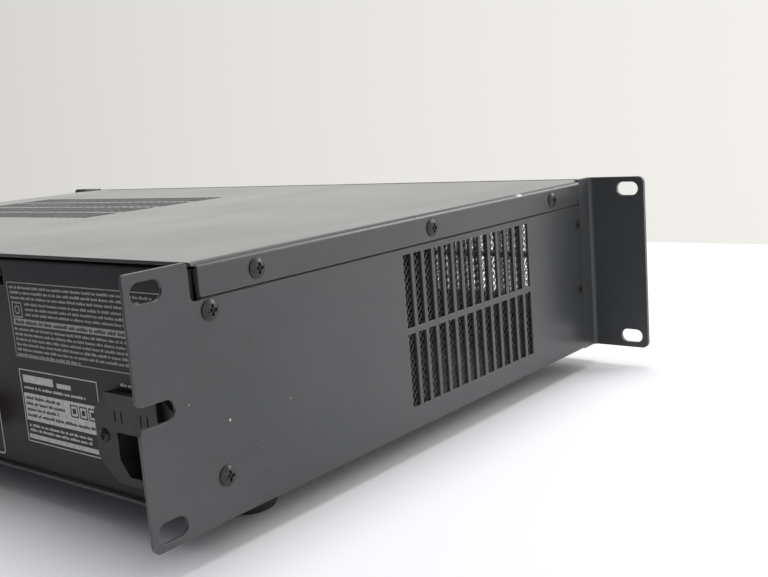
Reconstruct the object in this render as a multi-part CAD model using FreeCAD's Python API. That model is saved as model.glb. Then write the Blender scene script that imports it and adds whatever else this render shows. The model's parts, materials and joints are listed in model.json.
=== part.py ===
import FreeCAD, Part
import math
import os

# Two-unit 19 inch power amplifier. Millimetres, +X right as seen from the front, +Y to the rear, +Z up.
# The model is drawn about its datum: the rear face of the rack ears is Y = 0 and the middle of the
# chassis height is Z = 0. Every piece is moved on export, so that the origin is the middle of the
# bounding box on the surface under the feet.

# ---- driving dimensions -------------------------------------------------------------------------
SHEET = 1.2                      # steel sheet of the chassis
HALF_WIDTH = 212.7               # outer face of a side plate
HALF_HEIGHT = 43.3               # top of the cover, and minus the underside of the pan
FOOT_HEIGHT = 10.7
PLATE_FRONT = 12.2               # front end of a side plate
PLATE_REAR = 294.9               # rear end of a side plate, the rear rack support
PLATE_TOP = 43.8                 # top of the rear rack support
PANEL_FACE = 267.8               # outer face of the rear panel
PAN_REAR = 269.6                 # the pan's rear edge stands out a little below the rear panel
COVER_FRONT = 3.0
COVER_REAR = 268.2
COVER_BEND = 2.2                 # outer radius where the cover is folded down
PLATE_BEND = 1.1                 # outer radius where a side plate is folded under the pan
FOLD_REAR = 266.2                # a relief slit parts the fold from the rear rack support
SUPPORT_FRONT = 270.2
FOLD_BOTTOM = 31.9               # lower edge of the cover's side folds
FOLD_FRONT = 15.5
JOGGLE = 31.1                    # where a side plate starts to step inward under the cover's fold

EAR_HALF_SPAN = 241.3            # 482.6 mm across the ears
EAR_HALF_HEIGHT = 44.05
EAR_THICK = 2.0
EAR_SLOT_X = 232.55              # 465.1 mm between the slot centres
EAR_SLOT_Z = 38.1                # 76.2 mm between the slot centres
RACK_SLOT_R = 3.4
EAR_SLOT_LENGTH = 11.6
REAR_SLOT_LENGTH = 12.0
REAR_SLOT_Y = 286.6
REAR_SLOT_Z = 37.5

VENT_SLOT = 5.0                  # width of every vent slot
VENT_PITCH = 7.0
SIDE_VENT_FRONT = 65.8
SIDE_VENT_COLUMNS = 14
SIDE_VENT_ROWS = ((-33.7, -3.5), (-0.9, 28.8))
TOP_VENT_LEFT = -8.5
TOP_VENT_COLUMNS = 26
TOP_VENT_FRONT = 69.0
TOP_VENT_ROWS = 4
TOP_VENT_ROW = 21.6
TOP_VENT_RIB = 3.2
FRONT_VENT_OUTER = 180.0
FRONT_VENT_COLUMNS = 10
FRONT_VENT_ROWS = ((-19.0, 1.1), (4.1, 24.2))
REAR_VENT_RIGHT = -101.5
REAR_VENT_COLUMNS = 20
REAR_VENT_ROW = (31.0, 38.0)

FASCIA_THICK = 4.0
KNOB_REACH = 18.5                # the knobs' faces stand this far ahead of the ear plane

FOLD_SCREW_Y = (41.4, 141.2, 240.8)
FOLD_SCREW_Z = 37.1
SIDE_SCREW_Y = 262.8
SIDE_SCREW_Z = (27.3, -28.0)
EAR_SCREW_Y = 16.2
EAR_SCREW_Z = (21.7, -11.8)
CLEARANCE = 0.12                 # radial gap of a screw in its hole

FRONT_FOOT = (172.0, 42.0)
REAR_FOOT = (188.0, 233.0)
FOOT_SPOTS = [(side * x, y) for x, y in (FRONT_FOOT, REAR_FOOT) for side in (-1, 1)]
BASE_SCREW_SPOTS = [(x, y) for x in (-205.0, 205.0) for y in (30.0, 90.0, 160.0, 225.0)]
FASCIA_SCREW_SPOTS = [(x, z) for x in (-204.0, 0.0, 204.0) for z in (-34.0, 34.0)]

INLET_X = -176.5
INLET_Z = -20.5
INLET_FACE = 269.0
SPEAKER_SPOTS = ((-63.0, 9.0), (-27.0, 9.0))
POST_Z = -24.0
POST_SPOTS = (("red_a", -72.5), ("black_a", -53.5), ("red_b", -36.5), ("black_b", -17.5))
XLR_SPOTS = (("a", 142.0, 10.0), ("b", 184.0, 10.0))
SWITCH_SPOTS = ((142.0, -24.0), (184.0, -24.0))
FAN_X = 83.0
FAN_Z = 0.0
FAN_SIZE = 60.0
FAN_DEPTH = 25.0
FAN_HOLE = 25.0                  # the corner holes' distance from the fan's middle, each way
GUARD_WIRE = 0.7                 # radius of the guard's wire
GUARD_EYE = 1.7                  # height of the guard's flat eyes

TOROID_SPOT = (-110.0, 170.0)
HEATSINK_SPAN = (64.0, 170.0)
HEATSINK_OUTER = ((14.0, 1), (152.0, -1))
KNOB_SPOTS = (("a", -70.0), ("b", -10.0))
ROCKER_X = 60.0
LED_SPOTS = ((-44.0, 8.0), (-44.0, -8.0), (-36.0, 8.0), (-36.0, -8.0), (84.0, 0.0))

Y_SHIFT = (KNOB_REACH - PLATE_REAR) / 2
Z_SHIFT = HALF_HEIGHT + FOOT_HEIGHT
PAN_TOP = -HALF_HEIGHT + SHEET
PANEL_BACK = PANEL_FACE - SHEET
COVER_UNDER = HALF_HEIGHT - SHEET


# ---- helpers ------------------------------------------------------------------------------------
def vec(x, y, z):
    return FreeCAD.Vector(x, y, z)


def box(x0, x1, y0, y1, z0, z1):
    return Part.makeBox(x1 - x0, y1 - y0, z1 - z0, vec(x0, y0, z0))


def rod(x, y, z, radius, length, along):
    return Part.makeCylinder(radius, length, vec(x, y, z), vec(*along))


def tube(x, y, z, outer, inner, length, along):
    return rod(x, y, z, outer, length, along).cut(rod(x, y, z, inner, length, along))


def joined(shapes):
    return shapes[0].fuse(shapes[1:]).removeSplitter()


def group(shapes):
    return Part.makeCompound(shapes)


def cut_all(shape, tools):
    return shape.cut(Part.makeCompound(tools))


def rounded_outline(points, radii):
    """Closed wire through 2D corner points, each corner rounded by its own radius, in the XY plane."""
    count = len(points)
    starts = []
    ends = []
    mids = []
    for i in range(count):
        corner = FreeCAD.Vector(points[i][0], points[i][1], 0)
        before = FreeCAD.Vector(points[i - 1][0], points[i - 1][1], 0) - corner
        after = FreeCAD.Vector(points[(i + 1) % count][0], points[(i + 1) % count][1], 0) - corner
        radius = radii[i] if isinstance(radii, (list, tuple)) else radii
        before.normalize()
        after.normalize()
        if radius == 0:
            starts.append(corner)
            ends.append(corner)
            mids.append(None)
            continue
        half = before.getAngle(after) / 2
        back = radius / math.tan(half)
        bisector = before + after
        bisector.normalize()
        starts.append(corner + before * back)
        ends.append(corner + after * back)
        mids.append(corner + bisector * (radius / math.sin(half) - radius))
    edges = []
    for i in range(count):
        if mids[i] is not None:
            edges.append(Part.Arc(starts[i], mids[i], ends[i]).toShape())
        nearby = starts[(i + 1) % count]
        if (nearby - ends[i]).Length > 1e-6:
            edges.append(Part.LineSegment(ends[i], nearby).toShape())
    return Part.Wire(edges)


def plate(points, radii, plane, low, high):
    """Plate with a rounded outline in plane XY, XZ or YZ, filling low..high along the third axis."""
    face = Part.Face(rounded_outline(points, radii))
    solid = face.extrude(vec(0, 0, high - low))
    if plane == "XY":
        matrix = FreeCAD.Matrix(1, 0, 0, 0, 0, 1, 0, 0, 0, 0, 1, low)
    elif plane == "XZ":
        matrix = FreeCAD.Matrix(1, 0, 0, 0, 0, 0, -1, high, 0, 1, 0, 0)
    else:
        matrix = FreeCAD.Matrix(0, 0, 1, low, 1, 0, 0, 0, 0, 1, 0, 0)
    return transformed(solid, matrix)


def transformed(shape, matrix):
    moved = shape.copy()
    moved.transformShape(matrix, True)
    return moved


def rectangle(a0, a1, b0, b1):
    return [(a0, b0), (a1, b0), (a1, b1), (a0, b1)]


def mirrored(shape):
    return shape.mirror(vec(0, 0, 0), vec(1, 0, 0))


def slot_through(centre_a, centre_b, length, radius, plane, low, high):
    """Round-ended slot running along the plane's first axis."""
    outline = rectangle(centre_a - length / 2, centre_a + length / 2, centre_b - radius, centre_b + radius)
    return plate(outline, radius - 0.001, plane, low, high)


def aimed(shape, spot, direction):
    """Turn a shape drawn along +Z so that it points along direction, and put it at spot."""
    turned = shape.copy()
    rotation = FreeCAD.Rotation(vec(0, 0, 1), vec(*direction))
    turned.Placement = FreeCAD.Placement(vec(*spot), rotation)
    return turned


def pan_screw(spot, direction, thread=2.0, head=3.5, height=1.6, length=7.0):
    """Cross-recessed low-head screw. direction points out of the head."""
    ball = (head * head + height * height) / (2 * height) * 1.25
    dome = Part.makeSphere(ball, vec(0, 0, height - ball))
    cap = Part.makeCylinder(head, height).common(dome)
    shank = Part.makeCylinder(thread, length, vec(0, 0, -length))
    reach, wide, deep = head * 0.56, head * 0.17, head * 0.4
    cross = Part.makeBox(2 * reach, 2 * wide, height, vec(-reach, -wide, height - 0.6 * deep))
    other = Part.makeBox(2 * wide, 2 * reach, height, vec(-wide, -reach, height - 0.6 * deep))
    middle = Part.makeCone(0.1 * head, 0.33 * head, deep, vec(0, 0, height - deep))
    return aimed(cap.fuse(shank).cut(cross.fuse([other, middle])), spot, direction)


def flush_screw(spot, direction, thread=1.5, head=2.8, length=6.0):
    """Countersunk screw whose face is level with spot."""
    cone = Part.makeCone(thread, head, head - thread, vec(0, 0, thread - head))
    shank = Part.makeCylinder(thread, length, vec(0, 0, -length))
    cross = Part.makeBox(head * 1.1, 0.6, 1.0, vec(-head * 0.55, -0.3, -0.8))
    other = Part.makeBox(0.6, head * 1.1, 1.0, vec(-0.3, -head * 0.55, -0.8))
    return aimed(cone.fuse(shank).cut(cross.fuse(other)), spot, direction)


def flush_hole(spot, direction, thread=1.5, head=2.8, depth=8.0):
    """Countersunk hole that takes a flush screw with clearance."""
    cone = Part.makeCone(thread + CLEARANCE, head + CLEARANCE, head - thread, vec(0, 0, thread - head))
    mouth = Part.makeCylinder(head + CLEARANCE, 1.0)
    shank = Part.makeCylinder(thread + CLEARANCE, depth, vec(0, 0, -depth))
    return aimed(cone.fuse([mouth, shank]), spot, direction)


NODES = {}


def node(name, shape):
    NODES[name] = shape


# ---- sheet metal --------------------------------------------------------------------------------
def side_vent_tools():
    tools = []
    for column in range(SIDE_VENT_COLUMNS):
        y = SIDE_VENT_FRONT + column * VENT_PITCH
        for low, high in SIDE_VENT_ROWS:
            tools.append(box(-HALF_WIDTH - 1, -HALF_WIDTH + 4, y, y + VENT_SLOT, low, high))
    return tools


def rear_slot_tools():
    low, high = -HALF_WIDTH - 1, -HALF_WIDTH + 4
    tools = []
    for z in (-REAR_SLOT_Z, REAR_SLOT_Z):
        tools.append(slot_through(REAR_SLOT_Y, z, REAR_SLOT_LENGTH, RACK_SLOT_R, "YZ", low, high))
    inner = REAR_SLOT_Y - REAR_SLOT_LENGTH / 2
    tools.append(rod(low, inner + RACK_SLOT_R, 0, RACK_SLOT_R, high - low, (1, 0, 0)))
    tools.append(box(low, high, inner + RACK_SLOT_R, PLATE_REAR + 1, -RACK_SLOT_R, RACK_SLOT_R))
    return tools


def slot_mouth_tools(radius=2.2):
    """Rounds the two corners where the open middle slot meets the rear edge."""
    low, high = -HALF_WIDTH - 1, -HALF_WIDTH + 4
    tools = []
    for side in (-1, 1):
        edge = side * RACK_SLOT_R
        corner = box(low, high, PLATE_REAR - radius, PLATE_REAR + 1, min(edge, edge + side * radius),
                     max(edge, edge + side * radius))
        tools.append(corner.cut(rod(low, PLATE_REAR - radius, edge + side * radius, radius, high - low,
                                    (1, 0, 0))))
    return tools


def bend_tool(up, radius, low, high):
    """What a bend of that radius leaves out of the left lower corner, or of the upper one if up is 1."""
    x, z = -HALF_WIDTH + radius, up * (HALF_HEIGHT - radius)
    corner = box(-HALF_WIDTH - 1, x, low, high, min(z, z + up * (radius + 1)), max(z, z + up * (radius + 1)))
    return corner.cut(rod(x, low, z, radius, high - low, (0, 1, 0)))


def make_side_plate():
    """Left plate: flat outer sheet, a joggled strip under the cover's fold, and a flange under the pan."""
    outline = [(PLATE_FRONT, -HALF_HEIGHT), (PLATE_REAR, -HALF_HEIGHT), (PLATE_REAR, PLATE_TOP),
               (SUPPORT_FRONT, PLATE_TOP), (SUPPORT_FRONT, JOGGLE), (PLATE_FRONT, JOGGLE)]
    outer, inner = -HALF_WIDTH, -HALF_WIDTH + SHEET
    flat = plate(outline, [0.6, 2.6, 1.5, 1.5, 1.9, 0], "YZ", outer, inner)
    top = COVER_UNDER - (COVER_BEND - SHEET) - 0.2
    profile = [(outer, JOGGLE), (outer + 0.3, JOGGLE + 0.5), (inner, JOGGLE + 0.7),
               (inner, top), (inner + SHEET, top),
               (inner + SHEET, JOGGLE + 0.1), (inner, JOGGLE - 1.1)]
    strip = plate(profile, 0, "XZ", FOLD_FRONT, FOLD_REAR - 0.2)
    flange = box(inner, -199.0, 14.0, 262.0, PAN_TOP, PAN_TOP + SHEET)
    solid = joined([flat, strip, flange])
    tools = side_vent_tools() + rear_slot_tools() + slot_mouth_tools()
    tools.append(bend_tool(-1, PLATE_BEND, PLATE_FRONT - 1, PANEL_FACE))
    for y in FOLD_SCREW_Y:
        tools.append(rod(-HALF_WIDTH - 1, y, FOLD_SCREW_Z, 2.0 + CLEARANCE, 6, (1, 0, 0)))
    for z in SIDE_SCREW_Z:
        tools.append(rod(-HALF_WIDTH - 1, SIDE_SCREW_Y, z, 2.0 + CLEARANCE, 6, (1, 0, 0)))
    for z in EAR_SCREW_Z:
        tools.append(flush_hole((-HALF_WIDTH, EAR_SCREW_Y, z), (-1, 0, 0)))
    for x, y in BASE_SCREW_SPOTS[:4]:
        tools.append(rod(x, y, PAN_TOP - 1, 1.5 + CLEARANCE, 4, (0, 0, 1)))
    return cut_all(solid, tools)


def make_ear_bracket():
    """Left bracket: the ear, and a flange that runs back inside the side plate."""
    outer, inner = -HALF_WIDTH + SHEET, -HALF_WIDTH + SHEET + EAR_THICK
    ear = plate(rectangle(-EAR_HALF_SPAN, inner, -EAR_HALF_HEIGHT, EAR_HALF_HEIGHT),
                [3.0, 0, 0, 3.0], "XZ", -EAR_THICK, 0)
    step = PLATE_FRONT - 0.4
    outline = [(-EAR_THICK, -EAR_HALF_HEIGHT), (step, -EAR_HALF_HEIGHT), (step, -38.0), (34.0, -38.0),
               (34.0, 28.0), (step, 28.0), (step, EAR_HALF_HEIGHT), (-EAR_THICK, EAR_HALF_HEIGHT)]
    flange = plate(outline, [0, 0.5, 0, 4.0, 4.0, 0, 0.5, 0], "YZ", outer, inner)
    solid = joined([ear, flange])
    bends = [edge for edge in solid.Edges
             if abs(edge.BoundBox.XMin - outer) < 0.01 and abs(edge.BoundBox.XMax - outer) < 0.01
             and abs(edge.BoundBox.YMax) < 0.01 and edge.BoundBox.ZLength > 80]
    solid = solid.makeFillet(2.2, bends)
    tools = [slot_through(-EAR_SLOT_X, z, EAR_SLOT_LENGTH, RACK_SLOT_R, "XZ", -EAR_THICK - 1, 1)
             for z in (-EAR_SLOT_Z, EAR_SLOT_Z)]
    for z in EAR_SCREW_Z:
        tools.append(rod(outer - 1, EAR_SCREW_Y, z, 1.5 + CLEARANCE, 6, (1, 0, 0)))
    return cut_all(solid, tools)


def make_top_cover():
    """Flat top with vent slots, and a screwed fold down each side."""
    notch = PLATE_FRONT + 0.6
    outline = [(-HALF_WIDTH + 4, COVER_FRONT), (HALF_WIDTH - 4, COVER_FRONT), (HALF_WIDTH - 4, notch),
               (HALF_WIDTH, notch), (HALF_WIDTH, COVER_REAR), (-HALF_WIDTH, COVER_REAR),
               (-HALF_WIDTH, notch), (-HALF_WIDTH + 4, notch)]
    top = plate(outline, 0, "XY", COVER_UNDER, HALF_HEIGHT)
    fold = plate([(FOLD_FRONT, FOLD_BOTTOM), (FOLD_REAR, FOLD_BOTTOM), (FOLD_REAR, HALF_HEIGHT),
                  (notch, HALF_HEIGHT), (notch, HALF_HEIGHT - 3)], [1.0, 1.0, 0, 0, 0],
                 "YZ", -HALF_WIDTH, -HALF_WIDTH + SHEET)
    inner, throat = -HALF_WIDTH + SHEET, COVER_BEND - SHEET
    web = box(inner, inner + throat, FOLD_FRONT, FOLD_REAR, COVER_UNDER - throat, COVER_UNDER)
    web = web.cut(rod(inner + throat, 0, COVER_UNDER - throat, throat, COVER_REAR, (0, 1, 0)))
    solid = joined([top, fold, web, mirrored(fold), mirrored(web)])
    bend = bend_tool(1, COVER_BEND, COVER_FRONT, COVER_REAR + 1)
    tools = [bend, mirrored(bend)]
    for column in range(TOP_VENT_COLUMNS):
        x = TOP_VENT_LEFT + column * VENT_PITCH
        for row in range(TOP_VENT_ROWS):
            y = TOP_VENT_FRONT + row * (TOP_VENT_ROW + TOP_VENT_RIB)
            tools.append(box(x, x + VENT_SLOT, y, y + TOP_VENT_ROW, COVER_UNDER - 1, HALF_HEIGHT + 1))
    for y in FOLD_SCREW_Y:
        tools.append(rod(-HALF_WIDTH - 1, y, FOLD_SCREW_Z, 2.0 + CLEARANCE, 4, (1, 0, 0)))
        tools.append(rod(HALF_WIDTH + 1, y, FOLD_SCREW_Z, 2.0 + CLEARANCE, 4, (-1, 0, 0)))
    return cut_all(solid, tools)


def make_base_pan():
    """Flat bottom sheet with an upturned front lip, drilled for the feet and the base screws."""
    half = HALF_WIDTH - SHEET - 0.1
    narrow = HALF_WIDTH - SHEET - EAR_THICK - 0.2
    outline = [(-narrow, SHEET + 0.1), (narrow, SHEET + 0.1), (narrow, PLATE_FRONT), (half, PLATE_FRONT),
               (half, PAN_REAR), (-half, PAN_REAR), (-half, PLATE_FRONT), (-narrow, PLATE_FRONT)]
    floor = plate(outline, 0, "XY", -HALF_HEIGHT, PAN_TOP)
    lip = box(-205, 205, SHEET + 0.1, 2 * SHEET + 0.1, -HALF_HEIGHT, -30.0)
    tools = [rod(x, y, -HALF_HEIGHT - 1, 2.0 + CLEARANCE, 4, (0, 0, 1)) for x, y in FOOT_SPOTS]
    tools += [flush_hole((x, y, -HALF_HEIGHT), (0, 0, -1)) for x, y in BASE_SCREW_SPOTS]
    tools.append(rod(TOROID_SPOT[0], TOROID_SPOT[1], -HALF_HEIGHT - 1, 4.2, 4, (0, 0, 1)))
    tools += [rod(x, 0, z, 1.5 + CLEARANCE, 5, (0, 1, 0)) for x, z in FASCIA_SCREW_SPOTS if z < 0]
    return cut_all(joined([floor, lip]), tools)


def panel_openings(low, high):
    """Everything the rear panel is cut out for."""
    span = high - low
    tools = [box(INLET_X - 13.9, INLET_X + 13.9, low, high, INLET_Z - 16.4, INLET_Z + 16.4)]
    tools += [rod(INLET_X + side, low, INLET_Z, 1.5 + CLEARANCE, span, (0, 1, 0)) for side in (-20, 20)]
    for x, z in SPEAKER_SPOTS:
        tools.append(rod(x, low, z, 12.2, span, (0, 1, 0)))
        tools += [rod(x + side * 9.5, low, z + side * 12, 1.5 + CLEARANCE, span, (0, 1, 0))
                  for side in (-1, 1)]
    for name, x, z in XLR_SPOTS:
        tools.append(rod(x, low, z, 12.2, span, (0, 1, 0)))
        tools.append(box(x - 4.6, x + 4.6, low, high, z + 8.0, z + 14.6))
        tools += [rod(x + side * 9.5, low, z + side * 12, 1.5 + CLEARANCE, span, (0, 1, 0))
                  for side in (-1, 1)]
    tools += [rod(x, low, POST_Z, 4.2, span, (0, 1, 0)) for name, x in POST_SPOTS]
    tools += [box(x - 7.5, x + 7.5, low, high, z - 2.2, z + 2.2) for x, z in SWITCH_SPOTS]
    tools.append(rod(FAN_X, low, FAN_Z, FAN_SIZE / 2 - 1.5, span, (0, 1, 0)))
    tools += [rod(FAN_X + dx, low, FAN_Z + dz, 1.5 + CLEARANCE, span, (0, 1, 0))
              for dx, dz in fan_corners()]
    for column in range(REAR_VENT_COLUMNS):
        x = REAR_VENT_RIGHT + column * VENT_PITCH
        tools.append(box(x, x + VENT_SLOT, low, high, REAR_VENT_ROW[0], REAR_VENT_ROW[1]))
    return tools


def make_rear_panel():
    half = HALF_WIDTH - SHEET - 0.15
    narrow = half - SHEET - 0.1
    top = COVER_UNDER - 1.1
    shoulder = JOGGLE - 1.4
    outline = [(-half, PAN_TOP + 0.1), (half, PAN_TOP + 0.1), (half, shoulder), (narrow, shoulder),
               (narrow, top), (-narrow, top), (-narrow, shoulder), (-half, shoulder)]
    face = plate(outline, 0, "XZ", PANEL_BACK, PANEL_FACE)
    lid = box(-narrow, narrow, 256.0, PANEL_FACE, top - SHEET, top)
    flange = box(-half, -half + SHEET, 254.0, PANEL_FACE, PAN_TOP + SHEET + 1, shoulder)
    solid = joined([face, lid, flange, mirrored(flange)])
    bends = [edge for edge in solid.Edges
             if edge.BoundBox.XLength > 400 and abs(edge.BoundBox.ZMin - top) < 0.01
             and abs(edge.BoundBox.YMax - PANEL_FACE) < 0.01]
    solid = solid.makeFillet(0.8, bends)
    tools = panel_openings(PANEL_BACK - 1, PANEL_FACE + 1)
    for z in SIDE_SCREW_Z:
        tools.append(rod(-HALF_WIDTH, SIDE_SCREW_Y, z, 2.0 + CLEARANCE, 6, (1, 0, 0)))
        tools.append(rod(HALF_WIDTH, SIDE_SCREW_Y, z, 2.0 + CLEARANCE, 6, (-1, 0, 0)))
    return cut_all(solid, tools)


def front_openings(low, high):
    """Vent slots and control holes shared by the fascia and the sub-panel."""
    span = high - low
    tools = []
    for side in (-1, 1):
        for column in range(FRONT_VENT_COLUMNS):
            x = side * (FRONT_VENT_OUTER - column * VENT_PITCH)
            for bottom, top in FRONT_VENT_ROWS:
                tools.append(box(min(x, x - side * VENT_SLOT), max(x, x - side * VENT_SLOT), low, high,
                                 bottom, top))
    tools += [rod(x, low, 0, 4.0 + CLEARANCE, span, (0, 1, 0)) for name, x in KNOB_SPOTS]
    tools += [rod(x, low, z, 1.5 + CLEARANCE, span, (0, 1, 0)) for x, z in LED_SPOTS]
    tools.append(box(ROCKER_X - 7.1, ROCKER_X + 7.1, low, high, -10.9, 10.9))
    return tools


def make_front_subpanel():
    half = HALF_WIDTH - SHEET - EAR_THICK - 0.2
    face = box(-half, half, 0, SHEET, PAN_TOP + 0.1, COVER_UNDER - 0.2)
    lid = box(-half, half, 0, 14.0, COVER_UNDER - 0.2 - SHEET, COVER_UNDER - 0.2)
    tools = front_openings(-1, SHEET + 1)
    tools += [rod(x, -1, z, 1.5 + CLEARANCE, SHEET + 2, (0, 1, 0)) for x, z in FASCIA_SCREW_SPOTS]
    return cut_all(joined([face, lid]), tools)


def make_front_fascia():
    half = HALF_WIDTH - SHEET - EAR_THICK - 0.2
    face = plate(rectangle(-half, half, -43.9, 43.2), 1.0, "XZ", -FASCIA_THICK, 0)
    rims = [edge for edge in face.Edges if abs(edge.BoundBox.YMax + FASCIA_THICK) < 0.01]
    face = face.makeChamfer(0.5, rims)
    tools = front_openings(-FASCIA_THICK - 1, 1)
    tools += [flush_hole((x, -FASCIA_THICK, z), (0, -1, 0)) for x, z in FASCIA_SCREW_SPOTS]
    return cut_all(face, tools)


def make_vent_mesh(y0, y1, z0, z1):
    """Backing of the side vents: a thin flat panel against the side plate's inside."""
    x = -HALF_WIDTH + SHEET + 0.1
    return box(x, x + 0.9, y0, y1, z0, z1)


def make_sheet_metal():
    left = make_side_plate()
    node("left_side_plate", left)
    node("right_side_plate", mirrored(left))
    ear = make_ear_bracket()
    node("left_ear_bracket", ear)
    node("right_ear_bracket", mirrored(ear))
    node("top_cover", make_top_cover())
    node("base_pan", make_base_pan())
    node("rear_panel", make_rear_panel())
    node("front_subpanel", make_front_subpanel())
    node("front_fascia", make_front_fascia())
    rows = SIDE_VENT_ROWS
    length = (SIDE_VENT_COLUMNS - 1) * VENT_PITCH + VENT_SLOT
    mesh = make_vent_mesh(SIDE_VENT_FRONT - 4, SIDE_VENT_FRONT + length + 4, rows[0][0] - 2.5,
                          rows[1][1] + 1.1)
    node("left_vent_mesh", mesh)
    node("right_vent_mesh", mirrored(mesh))
    width = (TOP_VENT_COLUMNS - 1) * VENT_PITCH + VENT_SLOT
    depth = TOP_VENT_ROWS * (TOP_VENT_ROW + TOP_VENT_RIB) - TOP_VENT_RIB
    node("top_vent_mesh", box(TOP_VENT_LEFT - 4, TOP_VENT_LEFT + width + 4, TOP_VENT_FRONT - 4,
                              TOP_VENT_FRONT + depth + 4, COVER_UNDER - 1.0, COVER_UNDER - 0.1))
    inner = FRONT_VENT_OUTER - FRONT_VENT_COLUMNS * VENT_PITCH - 3
    screen = box(-FRONT_VENT_OUTER - 4, -inner, SHEET + 0.1, SHEET + 1.0, FRONT_VENT_ROWS[0][0] - 4,
                 FRONT_VENT_ROWS[1][1] + 4)
    node("front_vent_meshes", group([screen, mirrored(screen)]))


# ---- feet and fasteners -------------------------------------------------------------------------
def make_foot(x, y):
    bottom = -HALF_HEIGHT - FOOT_HEIGHT
    body = Part.makeCone(10.4, 12.0, FOOT_HEIGHT, vec(x, y, bottom))
    rims = [edge for edge in body.Edges if abs(edge.BoundBox.ZMax - bottom) < 0.01]
    body = body.makeFillet(2.0, rims)
    well = rod(x, y, bottom - 1, 4.6, FOOT_HEIGHT - 3, (0, 0, 1))
    hole = rod(x, y, bottom, 2.0 + CLEARANCE, FOOT_HEIGHT + 1, (0, 0, 1))
    return cut_all(body, [well, hole])


def make_fasteners():
    node("rubber_feet", group([make_foot(x, y) for x, y in FOOT_SPOTS]))
    seat = -HALF_HEIGHT - 4.0
    node("foot_screws", group([pan_screw((x, y, seat), (0, 0, -1), length=8.0) for x, y in FOOT_SPOTS]))
    cover = []
    sides = []
    ears = []
    for side in (-1, 1):
        for y in FOLD_SCREW_Y:
            cover.append(pan_screw((side * HALF_WIDTH, y, FOLD_SCREW_Z), (side, 0, 0)))
        for z in SIDE_SCREW_Z:
            sides.append(pan_screw((side * HALF_WIDTH, SIDE_SCREW_Y, z), (side, 0, 0)))
        for z in EAR_SCREW_Z:
            ears.append(flush_screw((side * HALF_WIDTH, EAR_SCREW_Y, z), (side, 0, 0)))
    node("cover_screws", group(cover))
    node("side_screws", group(sides))
    node("ear_screws", group(ears))
    node("base_screws", group([flush_screw((x, y, -HALF_HEIGHT), (0, 0, -1)) for x, y in BASE_SCREW_SPOTS]))
    node("fascia_screws", group([flush_screw((x, -FASCIA_THICK, z), (0, -1, 0), length=9.0)
                                 for x, z in FASCIA_SCREW_SPOTS]))
    rear = [pan_screw((INLET_X + side, INLET_FACE, INLET_Z), (0, 1, 0), thread=1.5, head=2.6, height=1.2)
            for side in (-20, 20)]
    spots = [(x, z) for x, z in SPEAKER_SPOTS] + [(x, z) for name, x, z in XLR_SPOTS]
    for x, z in spots:
        for side in (-1, 1):
            rear.append(pan_screw((x + side * 9.5, PANEL_FACE + 2.0, z + side * 12), (0, 1, 0), thread=1.5,
                                  head=2.6, height=1.2))
    for dx, dz in fan_corners():
        rear.append(pan_screw((FAN_X + dx, PANEL_FACE + GUARD_EYE, FAN_Z + dz), (0, 1, 0), thread=1.5,
                              head=2.8, height=1.4, length=8.0))
    node("rear_screws", group(rear))


# ---- mains inlet --------------------------------------------------------------------------------
def make_mains_inlet():
    """Thin screwed flange with a body behind it, a socket cavity and a bay for the fuse drawer."""
    flange = plate([(INLET_X - 25, INLET_Z - 9), (INLET_X - 15, INLET_Z - 17), (INLET_X + 15, INLET_Z - 17),
                    (INLET_X + 25, INLET_Z - 9), (INLET_X + 25, INLET_Z + 9), (INLET_X + 15, INLET_Z + 17),
                    (INLET_X - 15, INLET_Z + 17), (INLET_X - 25, INLET_Z + 9)], 2.0, "XZ",
                   PANEL_FACE, INLET_FACE)
    body = box(INLET_X - 13.6, INLET_X + 13.6, 240.0, PANEL_FACE + 1, INLET_Z - 16.1, INLET_Z + 16.1)
    solid = joined([flange, body])
    cavity = plate([(INLET_X - 12.6, INLET_Z + 2.5), (INLET_X - 12.6, INLET_Z - 8.0),
                    (INLET_X - 8.0, INLET_Z - 13.8), (INLET_X + 8.0, INLET_Z - 13.8),
                    (INLET_X + 12.6, INLET_Z - 8.0), (INLET_X + 12.6, INLET_Z + 2.5)], 0.8, "XZ",
                   253.0, INLET_FACE + 1)
    drawer_bay = box(INLET_X - 11.3, INLET_X + 11.3, 243.0, INLET_FACE + 1, INLET_Z + 3.9, INLET_Z + 15.4)
    screws = [rod(INLET_X + side, PANEL_FACE - 1, INLET_Z, 1.5 + CLEARANCE, 5, (0, 1, 0))
              for side in (-20, 20)]
    terminals = [box(x - 2.3, x + 2.3, 239.0, 254.0, z - 1.3, z + 1.3) for x, z in pin_spots()]
    return cut_all(solid, [cavity, drawer_bay] + screws + terminals)


def pin_spots():
    return ((INLET_X - 7.0, INLET_Z - 3.8), (INLET_X + 7.0, INLET_Z - 3.8), (INLET_X, INLET_Z - 7.8))


def make_mains_pins():
    pins = []
    for x, z in pin_spots():
        blade = box(x - 2.0, x + 2.0, 232.0, 264.0, z - 1.0, z + 1.0)
        tips = [edge for edge in blade.Edges if abs(edge.BoundBox.YMin - 264.0) < 0.01]
        pins.append(blade.makeChamfer(0.5, tips))
    return group(pins)


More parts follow.
